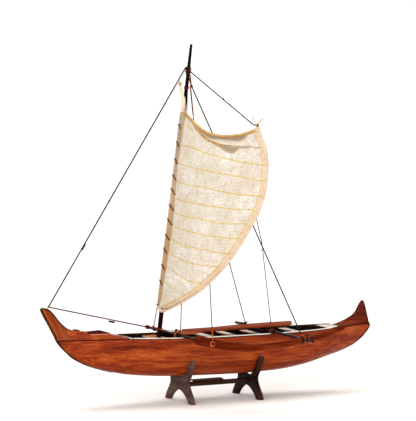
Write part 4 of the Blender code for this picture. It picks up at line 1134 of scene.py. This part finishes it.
def make_strips():
    shape = Shape()
    for *line, high, thick in (BOW_STRIP, STERN_STRIP):
        flat_strips(shape, side_line(*line), high, thick, slot=1)
    # painted shade along the stem, the prow's back and the stern edge
    for line, thick in EDGE_TUBES:
        points = eased([(x, 0.0, z) for x, z in line])
        shape.tube(points, np.linspace(thick, thick * 0.6, len(points)))
    for row in COVER_EDGES:
        flat_strips(shape, edge_on_side(*row), *COVER_STRIP)
    shape.piece("hull_edges", ("edge wood", "dark strip wood"))

    # painted shadow just below the rails
    shape = Shape()
    flat_strips(shape, side_line(*RAIL_SHADOW_STRIP[:5]), *RAIL_SHADOW_STRIP[5:])
    shape.piece("rail_shadow_strips", "band wood")

    # pale strips: painted highlight on the bands' edges
    shape = Shape()
    for start, end, z in BAND_LINES:
        line = np.array([(x, -read_table(SHEER, 1, x) * BAND_REACH, z) for x in np.linspace(start, end, 16)])
        flat_strips(shape, line, *BAND_STRIP)
    shape.piece("band_edge_highlights", "band edge wood")


# Rigging

LIFT_BEND = (0.0602, -0.1800, 0.4731)
SHROUD_BEND = (0.0072, -0.1308, 0.2090)
# columns: node, radius, finish, bends between its ends
THREADS = (
    ("forestay", 0.00095, "stay thread", ()),
    ("bow_line", 0.00090, "bow line thread", ()),
    ("topping_lift", 0.00080, "thread", (LIFT_BEND,)),
    ("backstay", 0.00085, "thread", ()),
    ("shroud_head", 0.00065, "thread", ()),
    ("shroud_near", 0.00065, "thread", (SHROUD_BEND,)),
    ("shroud_gunwale", 0.00065, "thread", ()),
    ("sheet_lower", 0.00065, "thread", ()),
    ("tack_line", 0.00065, "thread", ()),
)
LAID_OVER_ROD = 1.24  # laid cord over the radius of its rod
LAID_PITCH = 5.5  # travel of a strand's turn over the rod's radius
SERVED_PITCH = 0.0034  # travel of a turn on the parts served with a second cord
SERVED_LENGTH = 0.018  # of these parts at deck level
MAST_AXIS = (MAST_LEAN, 0.0, 1.0)
# Turns round the mast, columns: z, length, cord's radius, slot
MAST_TURNS = ((0.5490, 0.0130, 0.00055, 0), (0.1230, 0.0036, 0.00060, 1), (0.5205, 0.0042, 0.0005, 1))
# Turns round the crossbeams, columns: beam, y, length, cord's radius, height over the beam, layers, slot
FAR_TURNS = (
    (FRONT_BEAM, 0.0855, 0.0050, 0.0006, 0.0, 1, 0),
    (FRONT_BEAM, 0.0580, 0.0060, 0.0006, 0.0, 1, 0),
)
NEAR_TURNS = (
    (FRONT_BEAM, -0.0246, 0.0012, 0.0005, 0.0024, 1, 0),
    (FRONT_BEAM, -0.0276, 0.0012, 0.0005, 0.0024, 1, 0),
    (REAR_BEAM, -0.0475, 0.0070, 0.0007, 0.0, 2, 2),
    (FRONT_BEAM, -0.1525, 0.0028, 0.0007, 0.0, 2, 0),
    (FRONT_BEAM, -0.1505, 0.0012, 0.0006, 0.0022, 1, 1),
    (FRONT_BEAM, -0.0262, 0.0060, 0.0007, 0.0, 2, 1),
)
GUNWALE_TURNS = (FRONT_BEAM, -0.0345, 0.0050, 0.0006, 0.0, 1, 0)
# The float at the rear crossbeam: y, z, half width, half height
FLOAT_SECTION = (-0.1610, 0.1138, 0.0048, 0.0052)
FLOAT_RISE = 0.19  # height over length of the float's slope there
# Distance of each black turn aft of the crossbeam's axis
FLOAT_TURNS = (-0.0064, -0.0052, -0.0040, -0.0029, 0.0029, 0.0040, 0.0052, 0.0064)
# Cords round the float, columns: distance from its skin, squareness of the loop, cord's radius
BLACK_LOOP = (0.0008, 3.4, 0.0006)
ORANGE_LOOP = (0.0019, 2.6, 0.00065)
# Of the orange cords: travel aft over height, and distance aft at the float's middle height
CROSSING_SLOPE, CROSSING_STEP = 0.55, 0.0022
DECK_ROUTE = ((0.0010, 0.0640, 0.1178), (-0.0040, 0.0400, 0.1192), (-0.0150, 0.0080, 0.1222),
              (-0.0208, -0.0048, 0.1232), (-0.0150, -0.0100, 0.1226), (0.0008, -0.0262, 0.1214))
# Knots, columns: x, y, z, size
DECK_KNOTS = ((0.0006, -0.0262, 0.1222, 0.0030), (-0.0006, -0.0290, 0.1206, 0.0024),
              (0.0010, 0.0655, 0.1182, 0.0026))
GUNWALE_KNOTS = ((-0.0018, -0.0268, 0.1228, 0.0030), (0.0030, -0.0312, 0.1222, 0.0024),
                 (0.0010, -0.0222, 0.1190, 0.0030))


def node_ends(node):
    """Middle of each end of a thread's CAD rod, in model coordinates."""
    points = np.array([vertex.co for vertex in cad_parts[node].data.vertices], float)
    way = np.linalg.svd(points - points.mean(0), full_matrices=False)[2][0]
    reach = points @ way
    ends = [points[reach < reach.min() + 0.0002].mean(0), points[reach > reach.max() - 0.0002].mean(0)]
    ends.sort(key=lambda point: -point[2])
    return [end - SHIFT for end in ends]


def make_threads():
    for node, radius, look, bends in THREADS:
        upper, lower = node_ends(node)
        shape = Shape()
        shape.laid_cord([upper, *bends, lower], radius * LAID_OVER_ROD, radius * LAID_PITCH)
        for end, turn in ((upper, 0.3), (lower, 1.4)):
            shape.knot(end, radius * 2.0, turn)
        shape.piece(node + "_cord", look, [node])


def beam_turns(shape, beam, y, length, wire, over, layers, slot):
    """Turns of cord round a crossbeam."""
    x, z = beam
    for layer in range(layers):
        shape.winding((x, y, z), (0, 1, 0), IAKO_RADIUS + over + layer * wire * 1.7, wire,
                      length / (wire * TURN_PITCH) - layer, start=layer * 2.0, slot=slot)


def make_lashings():
    shape = Shape()
    for z, length, wire, slot in MAST_TURNS:
        turns = length / (wire * TURN_PITCH)
        shape.winding(mast_point(z), MAST_AXIS, mast_radius(z) + 0.0001, wire, turns, slot=slot)
    shape.piece("mast_windings", ("deep red cord", "red cord"),
                ["masthead_lashing", "mast_lashing", "mast_collar"])

    for name, looks, turns, nodes in (
        ("beam_far_windings", "red cord", FAR_TURNS, ["iako_end_lashing", "iako_far_lashing"]),
        ("beam_near_windings", ("orange cord", "black cord", "red cord"), NEAR_TURNS,
         ["gunwale_lashing_front", "gunwale_lashing_rear", "ama_lashing_front"]),
    ):
        shape = Shape()
        for row in turns:
            beam_turns(shape, *row)
        shape.piece(name, looks, nodes)


def float_loop(step, grow, squareness):
    """Loop of cord round the float, a step aft of the rear crossbeam."""
    y, z, half_wide, half_high = FLOAT_SECTION
    points = []
    for angle in round_angles(28):
        across, up = (math.copysign(abs(share) ** (2 / squareness), share)
                      for share in (math.cos(angle), math.sin(angle)))
        points.append((REAR_BEAM[0] + step, y + (half_wide + grow) * across,
                       z + step * FLOAT_RISE + (half_high + grow) * up))
    return np.array(points)


def make_float_lashing():
    """Black turns on both sides of the rear crossbeam, with two orange cords crossed over them."""
    shape = Shape()
    *form, radius = BLACK_LOOP
    for step in FLOAT_TURNS:
        shape.tube(float_loop(step, *form), radius, 6, closed=True)
    *form, radius = ORANGE_LOOP
    for side in (-1, 1):
        loop = float_loop(0.0, *form)
        above = loop[:, 2] - FLOAT_SECTION[1]
        loop[:, 0] += side * above * CROSSING_SLOPE + np.where(above > 0, side, -side) * CROSSING_STEP
        shape.tube(closed_curve(loop[::2]), radius, 6, slot=1, closed=True)
    shape.piece("float_lashing", ("black cord", "orange cord"), ["ama_lashing_rear"])


def make_deck_cords():
    """Cord from the front crossbeam's far lashing past the mast to the near gunwale, and its knots."""
    shape = Shape()
    shape.tube(eased(DECK_ROUTE), 0.0006, 6)
    for node, bend in (("shroud_near", SHROUD_BEND), ("backstay", None)):
        upper, lower = node_ends(node)
        way = unit((bend or upper) - lower)
        shape.laid_cord([lower, lower + way * SERVED_LENGTH], 0.00095, SERVED_PITCH)
    for *at, size in DECK_KNOTS:
        shape.knot(np.array(at), size, turn=at[2] * 90)
    shape.piece("deck_cord", "orange cord")

    shape = Shape()
    for *at, size in GUNWALE_KNOTS:
        shape.knot(np.array(at), size, turn=at[2] * 70)
    beam_turns(shape, *GUNWALE_TURNS)
    shape.piece("gunwale_knots", "black cord")


def between(start, end, share):
    return start + (np.array(end) - start) * share


def make_ties():
    """Knots and cord ends at the boom's tip, the sail's foot and the masthead."""
    tip = boom_point(BOOM_COURSE[-1][1])
    shape = Shape()
    shape.tail(tip + (0, 0.001, 0.001), tip + (-0.0035, 0.0100, 0.0140), 0.0009)
    shape.tail(tip + (0, 0.001, 0.001), tip + (0.0025, -0.0130, 0.0122), 0.0010, sag=-0.0004)
    shape.knot(tip + (0.0, 0.0004, 0.0012), 0.0032)
    shape.piece("boom_tip_tie", "tan cord")

    shape = Shape()
    foot = yard_point(SAIL_FOOT_Z + 0.0030) + (-0.0014, -0.0012, 0.0)
    shape.knot(tip + (-0.0006, -0.0022, 0.0002), 0.0024)
    shape.knot(foot, 0.0024, turn=0.7)
    shape.tail(foot, foot + (-0.0040, 0.0020, 0.0030), 0.0005)
    shape.knot(mast_point(0.5530) + (-0.0040, 0.0, 0.0), 0.0032, turn=0.5)
    shape.knot(between(node_ends("topping_lift")[0], LIFT_BEND, 0.53), 0.0019, turn=0.9)
    shape.knot(between(*node_ends("forestay"), 0.56), 0.0020, turn=0.2)
    shape.piece("black_knots", "black cord")

    shape = Shape()
    peak = yard_point(YARD_BEND[-1][0] - 0.0045) + (0.0004, -0.0006, 0.0)
    shape.winding(peak, (0.0, 0.0, 1.0), 0.0020, 0.0004, 6)
    shape.piece("yard_tip_tie", "hem thread")

    shape = Shape()
    top = mast_point(0.5420) + (0.0014, -0.0042, 0.0)
    knot = np.array((0.0340, -0.0105, 0.5240))
    shape.tail(top, knot + (0.0, 0.0012, 0.0008), 0.0007)
    shape.tail(top + (0.001, 0.0, 0.0), knot + (0.0012, 0.0014, 0.0008), 0.0007)
    shape.knot(knot, 0.0030, turn=0.4)
    upper = node_ends("shroud_near")[0]
    shape.laid_cord([upper, between(upper, SHROUD_BEND, 0.14)], 0.0012, SERVED_PITCH)
    z = MAST_TURNS[0][0]
    slanting = (MAST_LEAN + 0.25, 0.0, 1.0)
    shape.winding(mast_point(z), slanting, mast_radius(z) + 0.0013, 0.0006, 3, pitch=0.0026)
    shape.piece("masthead_cords", "red cord")


# Lacing that ties the yard to the mast

LACING_Z = (0.4580, 0.4291, 0.4016, 0.3747, 0.3519, 0.3258, 0.3023, 0.2769, 0.2545, 0.2274, 0.2016)
LACING_DROP = 0.0034  # half the height that a tie falls from the yard to the mast
TIE_RADIUS = 0.00095
# How far over the cloth a tie reaches, columns: height, across
TIE_REACH = ((0.20, 0.098), (0.26, 0.100), (0.30, 0.092), (0.33, 0.080), (0.352, 0.064), (0.375, 0.045),
             (0.40, 0.028), (0.43, 0.019), (0.46, 0.013))


def make_lacing():
    """Cord ties that go over the luff's sleeve, through the cloth and round the mast."""
    shape = Shape()
    drop = np.array((0.0, 0.0, LACING_DROP))
    for z in LACING_Z:
        mast, yard = mast_point(z), yard_point(z)
        reach = mast_radius(z) + 0.0008
        low, middle = luff_up(z - LACING_DROP), luff_up(z)
        normal = sail_normal(0.03, low)
        across = read_table(TIE_REACH, 1, z)
        points = [
            yard + (-0.0021, 0.0004, 0.0) + drop * 0.8,
            cloth_point(across * 0.2, middle) + normal * 0.0027 + drop * 0.45,
            cloth_point(across * 0.6, middle) + normal * 0.0024 - drop * 0.30,
            cloth_point(across * 0.95, low) + normal * 0.0016,
            cloth_point(across, low) - normal * 0.0012,
            mast + (reach * 0.5, -reach * 0.87, 0.0) - drop * 0.8,
            mast + (reach, 0.0, 0.0) - drop * 0.4,
            mast + (0.0, reach, 0.0),
            yard + (0.0, 0.0030, 0.0) + drop * 0.8,
        ]
        shape.tube(closed_curve(points), TIE_RADIUS, 6, closed=True)
    shape.piece("yard_lacing", "red cord")


# Studio

FLOOR_HALF = 40.0
# Linear colours, columns: position, colour
FLOOR_COLOURS = ((0.3, (0.92, 0.885, 0.85, 1)), (0.7, (0.93, 0.895, 0.865, 1)))
WORLD_COLOUR, WORLD_STRENGTH = (1.0, 0.985, 0.97, 1.0), 0.58
# columns: name, direction towards the light, strength, angle in degrees
SUNS = (("top", (0.05, 0.20, 1.0), 1.80, 38.0), ("front", (-0.30, -1.0, 0.45), 1.20, 45.0))
FILL_AT, FILL_TARGET, FILL_SIZE, FILL_POWER = (-1.9, -1.2, 1.0), (0.0, 0.0, 0.3), 1.8, 24.0
# The camera's place, its turn in degrees, and its focal length on a sensor 36 mm wide
CAMERA_AT = (-3.6160, -7.0193, 1.1585)
CAMERA_TURN = (90 - 6.0407, 0.0, -27.0)
CAMERA_LENS = 413.87


def facing(direction):
    """Rotation of a light that stands in a direction and shines back along it."""
    return Vector(direction).to_track_quat("Z", "Y").to_euler()


def make_studio():
    h = FLOOR_HALF
    floor = bpy.data.meshes.new("floor")
    floor.from_pydata([(-h, -h, 0), (h, -h, 0), (h, h, 0), (-h, h, 0)], [], [(0, 1, 2, 3)])
    f = Finish("floor", 0.9, specular=0.1)
    f.colour(f.ramp(f.noise((0.4, 0.4, 0.4)), *FLOOR_COLOURS))
    floor.materials.append(f.material)
    add_object("floor", floor)

    world = bpy.data.worlds.new("studio")
    bpy.context.scene.world = world
    world.use_nodes = True
    background = world.node_tree.nodes["Background"]
    background.inputs["Color"].default_value = WORLD_COLOUR
    background.inputs["Strength"].default_value = WORLD_STRENGTH

    for name, direction, strength, angle in SUNS:
        sun = bpy.data.lights.new(name, "SUN")
        sun.energy = strength
        sun.angle = math.radians(angle)
        add_object(name, sun).rotation_euler = facing(direction)
    fill = bpy.data.lights.new("sail_fill", "AREA")
    fill.energy = FILL_POWER
    fill.size = FILL_SIZE
    obj = add_object("sail_fill", fill)
    obj.location = FILL_AT
    obj.rotation_euler = facing(Vector(FILL_AT) - Vector(FILL_TARGET))


def make_camera():
    camera = bpy.data.cameras.new("camera")
    camera.lens = CAMERA_LENS
    camera.sensor_width = 36.0
    camera.clip_end = 200.0
    obj = add_object("camera", camera)
    obj.location = CAMERA_AT
    obj.rotation_euler = [math.radians(angle) for angle in CAMERA_TURN]
    bpy.context.scene.camera = obj


make_finishes()
make_camera()
make_woodwork()
make_sail()
make_threads()
make_lashings()
make_float_lashing()
make_deck_cords()
make_lacing()
make_ties()
make_strips()
make_studio()
bpy.context.scene.view_settings.view_transform = "Standard"
bpy.context.view_layer.update()
